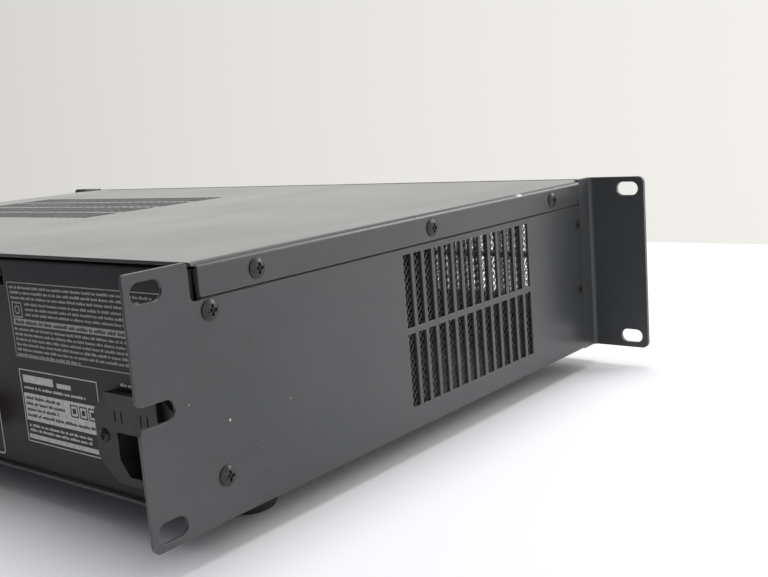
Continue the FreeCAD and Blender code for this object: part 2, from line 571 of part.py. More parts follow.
def make_fuse_drawer():
    """Drawer with a broad face that stands on the flange, four finger grooves and a cradle for the fuse."""
    low, high = INLET_Z + 4.3, INLET_Z + 15.0
    face = plate(rectangle(INLET_X - 14.4, INLET_X + 14.4, INLET_Z + 3.4, INLET_Z + 17.4), 0.8, "XZ",
                 INLET_FACE + 0.1, INLET_FACE + 2.6)
    neck = box(INLET_X - 10.9, INLET_X + 10.9, 266.0, INLET_FACE + 0.2, low, high)
    tray = box(INLET_X - 10.5, INLET_X + 10.5, 244.0, 266.5, low + 0.2, low + 2.0)
    walls = [box(INLET_X + side - 0.75, INLET_X + side + 0.75, 244.0, 266.5, low + 0.2, high - 0.6)
             for side in (-9.75, 9.75)]
    grooves = [box(INLET_X + x - 0.35, INLET_X + x + 0.35, INLET_FACE + 2.0, INLET_FACE + 3.0,
                   low + 2.7, low + 6.9) for x in (-9.0, -5.3, 5.3, 9.0)]
    return cut_all(joined([face, neck, tray] + walls), grooves)


def make_fuse():
    z = INLET_Z + 9.4
    glass = rod(INLET_X, 245.6, z, 2.4, 20.0, (0, 1, 0))
    caps = [rod(INLET_X, y, z, 2.6, 5.0, (0, 1, 0)) for y in (245.4, 260.8)]
    return joined([glass] + caps)


def make_mains():
    node("mains_inlet", make_mains_inlet())
    node("mains_pins", make_mains_pins())
    node("fuse_drawer", make_fuse_drawer())
    node("fuse", make_fuse())


# ---- rear connectors ----------------------------------------------------------------------------
def connector_flange(x, z):
    return plate(rectangle(x - 13, x + 13, z - 15.5, z + 15.5), 2.5, "XZ", PANEL_FACE, PANEL_FACE + 2.0)


def flange_holes(x, z):
    return [rod(x + side * 9.5, PANEL_FACE - 1, z + side * 12, 1.5 + CLEARANCE, 5, (0, 1, 0))
            for side in (-1, 1)]


def make_speaker_socket(x, z):
    """Twist-lock loudspeaker socket: a round well with a keyed centre post."""
    shell = joined([connector_flange(x, z), rod(x, 243.0, z, 12.0, 26.0, (0, 1, 0))])
    well = rod(x, 247.0, z, 10.4, 30.0, (0, 1, 0))
    post = tube(x, 246.0, z, 5.0, 3.0, 23.0, (0, 1, 0))
    keys = [box(x - 1.2, x + 1.2, 246.5, 262.0, z + side * 9.7 - 1.0, z + side * 9.7 + 1.0)
            for side in (-1, 1)]
    body = joined([cut_all(shell, [well] + flange_holes(x, z)), post] + keys)
    return cut_all(body, speaker_blades(x, z))


def speaker_blades(x, z):
    """Four contact blades that pass through the back of a loudspeaker socket."""
    blades = []
    for side in (-1, 1):
        blades.append(box(x + side * 7.0 - 0.4, x + side * 7.0 + 0.4, 239.5, 251.0, z - 2, z + 2))
        blades.append(box(x - 2, x + 2, 239.5, 251.0, z + side * 7.0 - 0.4, z + side * 7.0 + 0.4))
    return blades


def make_xlr_socket(x, z):
    """Three-pole input socket: a round shell, a drilled insert and a notch for the latch button."""
    shell = joined([connector_flange(x, z), rod(x, 243.0, z, 11.6, 26.0, (0, 1, 0))])
    mouth = rod(x, 263.0, z, 9.6, 12.0, (0, 1, 0))
    holes = [rod(x + 4.0 * math.cos(angle), 242.0, z + 4.0 * math.sin(angle), 1.5, 26.0, (0, 1, 0))
             for angle in contact_angles()]
    ring = tube(x, 249.0, z, 9.6, 7.6, 20.0, (0, 1, 0))
    latch_bay = box(x - 4.3, x + 4.3, 258.0, 275.0, z + 10.4, z + 14.4)
    return cut_all(shell, [mouth, ring, latch_bay] + holes + flange_holes(x, z))


def contact_angles():
    return (math.radians(150), math.radians(30), math.radians(270))


def make_xlr_latch(x, z):
    body = plate(rectangle(x - 4.0, x + 4.0, z + 10.7, z + 14.1), 0.6, "XZ", 262.0, 271.8)
    grip = [box(x - 3.0, x + 3.0, 271.3, 272.2, z + 11.3 + i * 1.0, z + 11.8 + i * 1.0) for i in range(3)]
    return joined([body] + grip)


def make_signal_contacts():
    pieces = []
    for name, x, z in XLR_SPOTS:
        for angle in contact_angles():
            cx, cz = x + 4.0 * math.cos(angle), z + 4.0 * math.sin(angle)
            pieces.append(tube(cx, 238.0, cz, 1.4, 0.9, 23.0, (0, 1, 0)))
    for x, z in SPEAKER_SPOTS:
        pieces += speaker_blades(x, z)
    return pieces


def make_post_base(x):
    collar = tube(x, PANEL_FACE, POST_Z, 7.0, 3.0 + CLEARANCE, 4.0, (0, 1, 0))
    neck = tube(x, PANEL_BACK, POST_Z, 4.1, 3.0 + CLEARANCE, SHEET, (0, 1, 0))
    washer = tube(x, PANEL_BACK - 3.0, POST_Z, 6.5, 3.0 + CLEARANCE, 3.0, (0, 1, 0))
    return joined([collar, neck, washer])


def make_post_stud(x):
    shaft = rod(x, 250.0, POST_Z, 3.0, 34.0, (0, 1, 0))
    nut = Part.Face(Part.Wire(Part.makePolygon(
        [vec(x + 5.2 * math.cos(math.radians(60 * i)), 259.0, POST_Z + 5.2 * math.sin(math.radians(60 * i)))
         for i in range(7)]))).extrude(vec(0, 4.5, 0))
    bore = rod(x, 268.0, POST_Z, 2.05, 20.0, (0, 1, 0))
    return joined([shaft, nut]).cut(bore)


def make_post_cap(x):
    """Fluted screw cap that clamps a bare wire against the collar."""
    body = rod(x, 272.2, POST_Z, 6.2, 12.0, (0, 1, 0))
    rims = [edge for edge in body.Edges if abs(edge.BoundBox.YMin - 284.2) < 0.01]
    body = body.makeFillet(0.8, rims)
    flutes = []
    for i in range(12):
        angle = math.radians(30 * i)
        flutes.append(rod(x + 6.6 * math.cos(angle), 274.0, POST_Z + 6.6 * math.sin(angle), 0.9, 12.0,
                          (0, 1, 0)))
    return cut_all(body, flutes + [rod(x, 270.0, POST_Z, 3.06, 16.0, (0, 1, 0))])


def make_slide_switch(x, z):
    housing = box(x - 11, x + 11, 259.0, PANEL_BACK - 0.1, z - 4.0, z + 4.0)
    return housing.cut(box(x - 9, x + 9, 261.0, PANEL_BACK, z - 2.4, z + 2.4))


def make_slider(x, z):
    foot = box(x - 4.0, x + 4.0, 261.6, 265.8, z - 2.0, z + 2.0)
    stem = box(x - 2.6, x + 2.6, 264.0, PANEL_FACE + 2.6, z - 1.7, z + 1.7)
    grooves = [box(x - 1.7 + i * 1.4, x - 1.1 + i * 1.4, PANEL_FACE + 2.1, PANEL_FACE + 3, z - 2, z + 2)
               for i in range(3)]
    return cut_all(joined([foot, stem]), grooves)


def make_rear_connectors():
    node("speaker_sockets", group([make_speaker_socket(x, z) for x, z in SPEAKER_SPOTS]))
    node("xlr_sockets", group([make_xlr_socket(x, z) for name, x, z in XLR_SPOTS]))
    for name, x, z in XLR_SPOTS:
        node("xlr_latch_" + name, make_xlr_latch(x, z))
    node("signal_contacts", group(make_signal_contacts()))
    node("binding_post_bases", group([make_post_base(x) for name, x in POST_SPOTS]))
    node("binding_post_studs", group([make_post_stud(x) for name, x in POST_SPOTS]))
    for name, x in POST_SPOTS:
        node("post_cap_" + name, make_post_cap(x))
    node("slide_switch_bodies", group([make_slide_switch(x, z) for x, z in SWITCH_SPOTS]))
    mode, ground = SWITCH_SPOTS
    node("mode_slider", make_slider(mode[0], mode[1]))
    node("ground_lift_slider", make_slider(ground[0] - 4.0, ground[1]))


# ---- fan ----------------------------------------------------------------------------------------
def fan_corners():
    return [(dx, dz) for dx in (-FAN_HOLE, FAN_HOLE) for dz in (-FAN_HOLE, FAN_HOLE)]


def make_fan_frame():
    """Square frame with a round duct, four spokes and a bearing tube."""
    back = PANEL_BACK - FAN_DEPTH
    half = FAN_SIZE / 2
    outline = rectangle(FAN_X - half, FAN_X + half, FAN_Z - half, FAN_Z + half)
    body = plate(outline, 4.0, "XZ", back, PANEL_BACK)
    duct = rod(FAN_X, back - 1, FAN_Z, 28.4, FAN_DEPTH + 2, (0, 1, 0))
    corners = [rod(FAN_X + dx, back - 1, FAN_Z + dz, 2.0, FAN_DEPTH + 2, (0, 1, 0))
               for dx, dz in fan_corners()]
    waist = tube(FAN_X, back + 4, FAN_Z, 45.0, 30.0, FAN_DEPTH - 8, (0, 1, 0))
    shell = cut_all(body, [duct, waist] + corners)
    spokes = []
    for i in range(4):
        spoke = box(0, 29.2, back, back + 2.5, -1.5, 1.5)
        spoke.rotate(vec(0, 0, 0), vec(0, 1, 0), 45 + 90 * i)
        spoke.translate(vec(FAN_X, 0, FAN_Z))
        spokes.append(spoke)
    motor = rod(FAN_X, back, FAN_Z, 14.0, 3.0, (0, 1, 0))
    bearing = rod(FAN_X, back, FAN_Z, 4.5, 17.0, (0, 1, 0))
    hub = joined([shell, motor, bearing] + spokes)
    return hub.cut(rod(FAN_X, back + 1, FAN_Z, 1.55, 30.0, (0, 1, 0)))


def make_fan_impeller():
    """Cup hub on a thin shaft, with seven pitched blades."""
    back = PANEL_BACK - FAN_DEPTH
    cup = rod(FAN_X, back + 4.5, FAN_Z, 15.0, 18.0, (0, 1, 0))
    hollow = rod(FAN_X, back + 4.0, FAN_Z, 12.5, 16.0, (0, 1, 0))
    shaft = rod(FAN_X, back + 2.0, FAN_Z, 1.5, 19.5, (0, 1, 0))
    blades = []
    for i in range(7):
        blade = Part.makeBox(14.5, 18.0, 1.4, vec(13.6, -9.0, -0.7))
        blade.rotate(vec(0, 0, 0), vec(1, 0, 0), 42)
        blade.rotate(vec(0, 0, 0), vec(0, 1, 0), 360.0 / 7 * i)
        blade.translate(vec(FAN_X, back + 14.0, FAN_Z))
        blades.append(blade)
    ring = tube(FAN_X, back + 5.0, FAN_Z, 27.4, 13.5, 17.0, (0, 1, 0))
    trimmed = [blade.common(ring) for blade in blades]
    return joined([cup.cut(hollow), shaft] + trimmed)


def make_fan_guard():
    """Wire guard: rings on two crossed rods, with a flat eye at each corner."""
    rod_y = PANEL_FACE + GUARD_EYE / 2
    ring_y = rod_y + 1.5 * GUARD_WIRE
    rings = [Part.makeTorus(radius, GUARD_WIRE, vec(FAN_X, ring_y, FAN_Z), vec(0, 1, 0))
             for radius in (7.5, 13.5, 19.5, 25.5)]
    bars = []
    reach = FAN_HOLE * math.sqrt(2) - 2.4
    for angle in (45, 135):
        bar = Part.makeCylinder(GUARD_WIRE, 2 * reach, vec(-reach, 0, 0), vec(1, 0, 0))
        bar.rotate(vec(0, 0, 0), vec(0, 1, 0), angle)
        bar.translate(vec(FAN_X, rod_y, FAN_Z))
        bars.append(bar)
    eyes = [tube(FAN_X + dx, PANEL_FACE, FAN_Z + dz, 3.4, 1.5 + CLEARANCE, GUARD_EYE, (0, 1, 0))
            for dx, dz in fan_corners()]
    return joined(rings + bars + eyes)


def make_fan():
    node("fan_frame", make_fan_frame())
    node("fan_impeller", make_fan_impeller())
    node("fan_guard", make_fan_guard())


# ---- power section ------------------------------------------------------------------------------
def make_transformer():
    x, y = TOROID_SPOT
    base = PAN_TOP + 2.0
    winding = tube(x, y, base, 62.0, 22.0, 56.0, (0, 0, 1))
    rims = [edge for edge in winding.Edges
            if edge.BoundBox.ZLength < 0.01 and edge.BoundBox.XLength > 40]
    node("toroid_transformer", winding.makeFillet(9.0, rims))
    pads = [tube(x, y, z, 58.0, 10.3, 2.0, (0, 0, 1)) for z in (PAN_TOP, base + 56.0)]
    node("transformer_pads", group(pads))
    top = base + 58.0
    dish = tube(x, y, top, 40.0, 4.3, 2.0, (0, 0, 1))
    well = tube(x, y, top - 3.0, 10.0, 4.3, 5.0, (0, 0, 1))
    node("transformer_washer", joined([dish, well]))
    bolt = rod(x, y, -HALF_HEIGHT, 4.0, top + 2.0 + HALF_HEIGHT + 9.0, (0, 0, 1))
    nut = rod(x, y, top + 2.0, 7.0, 6.0, (0, 0, 1)).common(
        plate([(x + 7.5 * math.cos(math.radians(60 * i)), y + 7.5 * math.sin(math.radians(60 * i)))
               for i in range(6)], 0, "XY", top + 2.0, top + 8.0))
    head = tube(x, y, -HALF_HEIGHT - 2.5, 7.0, 2.0, 2.5, (0, 0, 1))
    node("transformer_bolt", joined([bolt, nut, head]))


def make_heatsink(outer, side):
    """Comb extrusion: a base, a thick outer wall for the transistors and a row of upright fins."""
    base, root, top = -36.0, -31.0, 30.0
    width, wall, fin, fins = 68.0, 7.8, 1.8, 8
    pitch = (width - wall) / fins
    sections = [(0, width, root), (0, wall, top)]
    sections += [(width - i * pitch - fin, width - i * pitch, top) for i in range(fins)]
    bars = []
    for start, end, height in sections:
        x0, x1 = sorted((outer + side * start, outer + side * end))
        bars.append(box(x0, x1, HEATSINK_SPAN[0], HEATSINK_SPAN[1], base, height))
    return joined(bars)


def transistor(x, y, side):
    """Output transistor bolted flat on a heatsink wall, legs down to the board."""
    case = box(min(x, x - side * 4.8), max(x, x - side * 4.8), y - 8.0, y + 8.0, -16.0, 5.0)
    legs = []
    for dy in (-5.4, 0, 5.4):
        legs.append(box(x - side * 2.6 - 0.4, x - side * 2.6 + 0.4, y + dy - 0.6, y + dy + 0.6, -32.8, -15.0))
    return joined([case] + legs)


def make_power_section():
    make_transformer()
    heatsinks = [make_heatsink(outer, side) for outer, side in HEATSINK_OUTER]
    node("left_heatsink", heatsinks[0])
    node("right_heatsink", heatsinks[1])
    transistors = []
    for outer, side in HEATSINK_OUTER:
        transistors += [transistor(outer - side * 0.05, y, side) for y in (80.0, 105.0, 130.0, 155.0)]
    node("output_transistors", group(transistors))
    board_low, board_high = -34.4, -32.8
    left = box(-40.0, 13.4, 62.0, 172.0, board_low, board_high)
    right = box(152.6, 206.0, 62.0, 172.0, board_low, board_high)
    node("amplifier_boards", group([left, right]))
    node("supply_board", box(-44.0, 50.0, 176.0, 240.0, board_low, board_high))
    capacitors = []
    for x in (-28.5, 3.0, 34.5):
        for y in (192.0, 223.5):
            can = rod(x, y, board_high, 15.0, 50.0, (0, 0, 1))
            rims = [edge for edge in can.Edges if edge.BoundBox.ZLength < 0.01]
            capacitors.append(can.makeFillet(1.2, rims))
    node("reservoir_capacitors", group(capacitors))
    spots = [(x, y) for x in (-36.0, 8.0, 158.0, 194.0) for y in (66.0, 168.0)]
    spots += [(x, y) for x in (-40.0, 46.0) for y in (180.0, 236.0)]
    posts = [rod(x, y, PAN_TOP, 2.8, board_low - PAN_TOP, (0, 0, 1)) for x, y in spots]
    for outer, side in HEATSINK_OUTER:
        for across in (10.0, 58.0):
            for y in (70.0, 164.0):
                posts.append(rod(outer + side * across, y, PAN_TOP, 3.5, -36.0 - PAN_TOP, (0, 0, 1)))
    node("board_standoffs", group(posts))


# ---- front controls -----------------------------------------------------------------------------
def make_knob(x):
    """Turned knob with a skirt, a pointer groove and its own spindle."""
    front = -KNOB_REACH
    body = rod(x, front, 0, 9.5, 14.0, (0, 1, 0))
    rims = [edge for edge in body.Edges if abs(edge.BoundBox.YMax - front) < 0.01]
    body = body.makeFillet(1.2, rims)
    skirt = Part.makeCone(9.5, 11.0, 3.0, vec(x, -KNOB_REACH + 10.6, 0), vec(0, 1, 0))
    flutes = []
    for i in range(18):
        angle = math.radians(20 * i + 10)
        flutes.append(rod(x + 10.0 * math.cos(angle), front - 1, 10.0 * math.sin(angle), 0.9, 11.0,
                          (0, 1, 0)))
    pointer = box(x - 0.5, x + 0.5, front - 1, front + 0.6, 2.0, 12.0)
    spindle = rod(x, -5.0, 0, 3.0, 12.5, (0, 1, 0))
    return joined([cut_all(joined([body, skirt]), flutes + [pointer]), spindle])


def make_level_pot(x):
    can = rod(x, 3.0, 0, 8.2, 9.0, (0, 1, 0))
    bush = rod(x, -3.6, 0, 4.0, 7.0, (0, 1, 0))
    nut = tube(x, SHEET + 0.05, 0, 6.0, 3.9, 1.8, (0, 1, 0))
    tag = box(x - 6, x + 6, 5.0, 6.2, -13.0, -6.0)
    return joined([can, bush, nut, tag]).cut(rod(x, -4.5, 0, 3.06, 13.0, (0, 1, 0)))


def make_rocker_housing():
    bezel = box(ROCKER_X - 8.5, ROCKER_X + 8.5, -FASCIA_THICK - 1.4, -FASCIA_THICK, -12.5, 12.5)
    rims = [edge for edge in bezel.Edges if abs(edge.BoundBox.YMax + FASCIA_THICK + 1.4) < 0.01]
    bezel = bezel.makeFillet(0.8, rims)
    body = box(ROCKER_X - 6.9, ROCKER_X + 6.9, -FASCIA_THICK - 0.5, 16.0, -10.7, 10.7)
    window = box(ROCKER_X - 5.9, ROCKER_X + 5.9, -8.0, 6.0, -9.7, 9.7)
    tabs = [box(ROCKER_X - 3.2, ROCKER_X - 2.4, 15.0, 23.0, z - 3, z + 3) for z in (-5.0, 5.0)]
    pins = rod(ROCKER_X - 6.5, -1.0, 0, 1.45, 13.0, (1, 0, 0))
    return joined([cut_all(joined([bezel, body]), [window]), pins] + tabs)


def make_rocker_paddle():
    """Two-position paddle with a shallow vee face and rounded ends, tipped to its off position."""
    hinge = (0, -1.0, 0)
    drum = rod(ROCKER_X - 5.6, hinge[1], 0, 9.2, 11.2, (1, 0, 0))
    slab = Part.Face(Part.makePolygon([vec(0, -6.0, -12), vec(0, -4.6, 0), vec(0, -6.0, 12), vec(0, 2.2, 12),
                                       vec(0, 2.2, -12), vec(0, -6.0, -12)])).extrude(vec(11.2, 0, 0))
    slab.translate(vec(ROCKER_X - 5.6, 0, 0))
    paddle = drum.common(slab).cut(rod(ROCKER_X - 7, hinge[1], 0, 1.5, 14, (1, 0, 0)))
    paddle.rotate(vec(ROCKER_X, hinge[1], 0), vec(1, 0, 0), 8.0)
    return paddle


def make_front_controls():
    for name, x in KNOB_SPOTS:
        node("level_knob_" + name, make_knob(x))
    node("level_pots", group([make_level_pot(x) for name, x in KNOB_SPOTS]))
    node("rocker_housing", make_rocker_housing())
    node("rocker_paddle", make_rocker_paddle())
    lenses = []
    for x, z in LED_SPOTS:
        tip = Part.makeSphere(1.5, vec(x, -FASCIA_THICK, z))
        lenses.append(joined([rod(x, -FASCIA_THICK, z, 1.5, 8.0, (0, 1, 0)), tip,
                              rod(x, 3.0, z, 2.0, 5.0, (0, 1, 0))]))
    node("led_lenses", group(lenses))
    front = box(-96.0, 20.0, 13.0, 14.6, -24.0, 18.0)
    status = box(76.0, 92.0, 8.0, 9.6, -8.0, 8.0)
    inputs = box(124.0, 202.0, 234.0, 235.6, -30.0, 26.0)
    node("control_boards", group([front, status, inputs]))


# ---- export -------------------------------------------------------------------------------------
make_sheet_metal()
make_fasteners()
make_mains()
make_rear_connectors()
make_fan()
make_power_section()
make_front_controls()

os.makedirs("parts", exist_ok=True)
for name, shape in NODES.items():
    placed = shape.copy()
    placed.translate(vec(0, Y_SHIFT, Z_SHIFT))
    placed.exportStep("parts/" + name + ".step")
print(len(NODES), "nodes written")
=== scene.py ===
import json
import math
import random

import bmesh
import bpy
from mathutils import Matrix, Vector


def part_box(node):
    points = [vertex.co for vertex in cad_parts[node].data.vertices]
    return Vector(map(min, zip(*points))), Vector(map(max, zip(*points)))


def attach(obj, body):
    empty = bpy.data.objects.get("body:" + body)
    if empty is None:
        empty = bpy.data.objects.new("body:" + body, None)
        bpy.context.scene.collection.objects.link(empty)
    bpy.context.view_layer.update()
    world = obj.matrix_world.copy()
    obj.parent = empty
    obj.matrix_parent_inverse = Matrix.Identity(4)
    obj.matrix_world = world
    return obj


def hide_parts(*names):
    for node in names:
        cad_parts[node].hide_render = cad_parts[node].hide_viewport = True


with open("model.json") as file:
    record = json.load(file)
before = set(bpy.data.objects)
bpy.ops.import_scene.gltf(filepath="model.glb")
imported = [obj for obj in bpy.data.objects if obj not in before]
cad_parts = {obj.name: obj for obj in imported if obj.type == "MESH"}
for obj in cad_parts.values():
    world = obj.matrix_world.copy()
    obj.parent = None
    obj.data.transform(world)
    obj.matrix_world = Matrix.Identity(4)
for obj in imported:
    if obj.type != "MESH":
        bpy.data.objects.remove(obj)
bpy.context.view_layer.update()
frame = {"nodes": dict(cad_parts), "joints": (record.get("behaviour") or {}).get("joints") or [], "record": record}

# The frame is in metres: +X right seen from the front, +Y to the rear, +Z up, the feet stand on Z = 0.
MM = 0.001
CHASSIS = "chassis"
draw = random.Random(7)          # word lengths and letter heights of the greeked print


# ---- shader nodes -------------------------------------------------------------------------------
class Nodes:
    """A node tree, with short calls that add nodes and link them."""

    def __init__(self, tree, shader):
        self.tree = tree
        self.shader = tree.nodes[shader]

    def feed(self, target, value):
        """A node's output is linked to a socket, and a number or colour is set on it."""
        if isinstance(value, bpy.types.NodeSocket):
            self.tree.links.new(value, target)
        else:
            target.default_value = value

    def set(self, socket, value):
        """Number, colour or node's output for one of the shader's own sockets."""
        self.feed(self.shader.inputs[socket], value)

    def node(self, kind, **inputs):
        """New node. An input goes by its name with _ for a space, or by _ and its number."""
        made = self.tree.nodes.new(kind)
        for name, value in inputs.items():
            key = int(name[1:]) if name[1:].isdigit() else name.replace("_", " ")
            self.feed(made.inputs[key], value)
        return made

    def spread(self, value, low, high, to_low=0.0, to_high=1.0, curve="SMOOTHSTEP"):
        """value from low..high, mapped to to_low..to_high and held there outside it."""
        made = self.node("ShaderNodeMapRange", Value=value, From_Min=low, From_Max=high,
                         To_Min=to_low, To_Max=to_high)
        made.interpolation_type = curve
        return made.outputs["Result"]

    def math(self, operation, a, b=0.0):
        made = self.node("ShaderNodeMath", _0=a, _1=b)
        made.operation = operation
        return made.outputs["Value"]

    def vector_math(self, operation, a, b):
        made = self.node("ShaderNodeVectorMath", _0=a, _1=b)
        made.operation = operation
        return made

    def axis(self, vector, letter):
        """One coordinate of a vector."""
        return self.node("ShaderNodeSeparateXYZ", Vector=vector).outputs[letter]

    def mix(self, share, a, b, kind="RGBA"):
        """Blend of two colours or, as FLOAT, of two numbers."""
        made = self.tree.nodes.new("ShaderNodeMix")
        made.data_type = kind
        first, result = {"FLOAT": (2, 0), "RGBA": (6, 2)}[kind]
        for socket, value in ((0, share), (first, a), (first + 1, b)):
            self.feed(made.inputs[socket], value)
        return made.outputs[result]


class Paint(Nodes):
    """One procedural material: a Principled shader and the patterns that its finish is made of."""

    def __init__(self, name, **sockets):
        self.material = bpy.data.materials.new(name)
        self.material.use_nodes = True
        super().__init__(self.material.node_tree, "Principled BSDF")
        coordinates = self.tree.nodes.new("ShaderNodeTexCoord")
        self.place = coordinates.outputs["Object"]
        for socket, value in sockets.items():
            self.set(socket.replace("_", " "), value)

    def stretched(self, x, y, z):
        """The object's coordinates, scaled by a factor along each axis."""
        made = self.node("ShaderNodeMapping", Vector=self.place, Scale=(x, y, z))
        return made.outputs["Vector"]

    def noise(self, size, detail=3.0, roughness=0.55, place=None):
        """Noise from 0 to 1 with features of about that size in metres."""
        made = self.node("ShaderNodeTexNoise", Vector=place or self.place, Scale=1.0 / size,
                         Detail=detail, Roughness=roughness)
        return made.outputs["Fac"]

    def cells(self, size, place=None):
        """Distance to the nearest point of a random set that far apart, 0 at the points."""
        made = self.node("ShaderNodeTexVoronoi", Vector=place or self.place, Scale=1.0 / size)
        return made.outputs["Distance"]

    def relief(self, height, depth, normal=None):
        """Surface normal of a height map, where a height of 1 stands depth metres proud."""
        made = self.node("ShaderNodeBump", Height=height, Strength=1.0, Distance=depth)
        if normal is not None:
            self.tree.links.new(normal, made.inputs["Normal"])
        return made.outputs["Normal"]

    def softened(self, radius):
        """Normal rounded over the edges by that radius in metres."""
        made = self.tree.nodes.new("ShaderNodeBevel")
        made.samples = 4
        made.inputs["Radius"].default_value = radius
        return made.outputs["Normal"]

    def edges(self, radius):
        """1 on edges and corners, within that radius in metres, and 0 on flat faces."""
        flat = self.tree.nodes.new("ShaderNodeNewGeometry").outputs["True Normal"]
        dot = self.vector_math("DOT_PRODUCT", self.softened(radius), flat)
        return self.spread(dot.outputs["Value"], 0.995, 0.86)

    def hollows(self, reach):
        """1 deep in a hollow narrower than about twice the reach in metres, and 0 in the open."""
        open_sky = self.tree.nodes.new("ShaderNodeAmbientOcclusion")
        open_sky.samples = 8
        open_sky.inputs["Distance"].default_value = reach
        return self.spread(open_sky.outputs["AO"], 0.85, 0.35)

    def level(self, height, reach):
        """1 at that height in metres, fading to 0 at the reach above and below it."""
        away = self.math("ABSOLUTE", self.math("SUBTRACT", self.axis(self.place, "Z"), height))
        return self.spread(away, reach, 0.4 * reach)

    def upward(self, low=0.4, high=1.0):
        """1 on faces that look up, 0 on walls: low and high are the upward part of their normal."""
        normal = self.tree.nodes.new("ShaderNodeNewGeometry").outputs["Normal"]
        return self.spread(self.axis(normal, "Z"), low, high)

    def chip(self, spot, size):
        """1 on a ragged patch of about that size round a spot, and 0 elsewhere."""
        away = self.vector_math("DISTANCE", self.place, spot)
        ragged = self.spread(self.noise(size, 3.0, 0.7), 0.3, 0.7, 0.5, 1.5)
        reach = self.math("MULTIPLY", ragged, size / 2)
        return self.math("LESS_THAN", away.outputs["Value"], reach)


def grey(level, warmth=0.0):
    """Linear colour of one level, a little warmer or, below 0, a little bluer."""
    return (level * (1 + warmth), level, level * (1 - warmth), 1.0)


# ---- materials, one function per finish ----------------------------------------------------------
LEFT_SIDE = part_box("left_side_plate")[0].x
COVER_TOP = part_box("top_cover")[1].z
COVER_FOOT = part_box("top_cover")[0].z

# Where the coat is chipped to bright metal: y and size on the cover's left bend, and y, z and size on the
# left side. Places are in metres and sizes in millimetres.
BEND_INSET = 0.6 * MM
BEND_CHIPS = ((-0.0656, 1.1), (-0.0672, 1.7), (-0.0690, 1.5))
SIDE_CHIPS = ((0.1212, 0.0439, 0.9), (0.0926, 0.0434, 0.5))
CHIPS = [(Vector((LEFT_SIDE + BEND_INSET, y, COVER_TOP - BEND_INSET)), size * MM) for y, size in BEND_CHIPS]
CHIPS += [(Vector((LEFT_SIDE, y, z)), size * MM) for y, z, size in SIDE_CHIPS]

# Grime and painted shade lie on the ledge of the side plates, in the joint under the cover's folds.
LEDGE_DROP = 0.5 * MM
LEDGE_REACH = 1.5 * MM


def powder_coat(name="powder_coat", dark=0.037, light=0.054, gloss=0.5, rough=0.25):
    """Satin black powder coat: faint orange peel, cloudy sheen, dust on the tops that also paints a pale sheen,
    dirt and painted shade in the joint under the cover, rubbed edges with a painted highlight, and chips."""
    paint = Paint(name, Specular_IOR_Level=gloss)
    cloud = paint.noise(0.09, 4.0)
    wipe = paint.noise(0.03, 5.0, 0.6, paint.stretched(1.0, 0.25, 1.6))
    edge = paint.edges(0.0007)
    base = paint.mix(paint.spread(cloud, 0.35, 0.65), grey(dark, -0.07), grey(light, -0.04))
    grain = paint.spread(paint.noise(0.0007, 2.0, 0.7), 0.30, 0.70, 0.1, 0.4)
    base = paint.mix(grain, base, grey(1.5 * light, -0.04))
    # Upward faces lightened: dust, and a painted sheen for the pale look of the top.
    dust_and_painted_sheen = paint.math("MULTIPLY", paint.upward(), paint.spread(wipe, 0.3, 0.8, 0.22, 0.42))
    base = paint.mix(dust_and_painted_sheen, base, grey(0.15, 0.05))
    speck = paint.spread(paint.cells(0.011), 0.035, 0.02)
    lone = paint.spread(paint.noise(0.021, 1.0), 0.66, 0.70)
    base = paint.mix(paint.math("MULTIPLY", speck, lone), base, grey(0.32))
    # Edges lightened: rubbed wear and a painted edge highlight.
    edge_rub_and_highlight = paint.math("MULTIPLY", edge, paint.spread(paint.noise(0.012, 4.0), 0.38, 0.62, 0.15, 0.9))
    base = paint.mix(edge_rub_and_highlight, base, grey(0.12, -0.02))
    chip = paint.math("MULTIPLY", edge, paint.spread(paint.noise(0.006, 2.0), 0.71, 0.75))
    base = paint.mix(chip, base, grey(0.42))
    for spot, size in CHIPS:
        base = paint.mix(paint.chip(spot, size), base, grey(0.50, 0.02))
    # Painted shade with grime: the ledge under the cover's folds is darkened to near black and dulled.
    joint = paint.level(COVER_FOOT - LEDGE_DROP, LEDGE_REACH)
    grime_and_joint_shade = paint.math("MULTIPLY", paint.upward(0.1, 0.4), joint)
    paint.set("Base Color", paint.mix(grime_and_joint_shade, base, grey(0.026)))
    haze = paint.spread(cloud, 0.3, 0.7, rough, rough + 0.04)
    sheen = paint.math("ADD", haze, paint.spread(wipe, 0.4, 0.7, 0.0, 0.03))
    sheen = paint.math("ADD", sheen, paint.math("MULTIPLY", grain, 0.12))
    paint.set("Roughness", paint.math("MAXIMUM", sheen, paint.spread(grime_and_joint_shade, 0.0, 1.0, 0.0, 0.95)))
    peel = paint.relief(paint.noise(0.0016, 2.0), 0.000006, paint.softened(0.0004))
    paint.set("Normal", paint.relief(paint.noise(0.0005, 1.0), 0.0000012, peel))
    return paint.material


def fascia_paint():
    """Finer satin paint of the front panel, a little smoother than the case."""
    paint = Paint("fascia_paint", Specular_IOR_Level=0.55)
    cloud = paint.noise(0.07, 4.0)
    base = paint.mix(cloud, grey(0.022), grey(0.032, -0.02))
    # Edges lightened: rubbed wear and a painted edge highlight.
    edge_rub_and_highlight = paint.math("MULTIPLY", paint.edges(0.0005), paint.spread(paint.noise(0.01), 0.4, 0.65, 0.1, 0.8))
    paint.set("Base Color", paint.mix(edge_rub_and_highlight, base, grey(0.09)))
    grain = paint.noise(0.0009, 2.0)
    haze = paint.spread(cloud, 0.3, 0.7, 0.29, 0.35)
    paint.set("Roughness", paint.math("ADD", haze, paint.spread(grain, 0.3, 0.7, 0.0, 0.06)))
    paint.set("Normal", paint.relief(grain, 0.000015, paint.softened(0.0003)))
    return paint.material


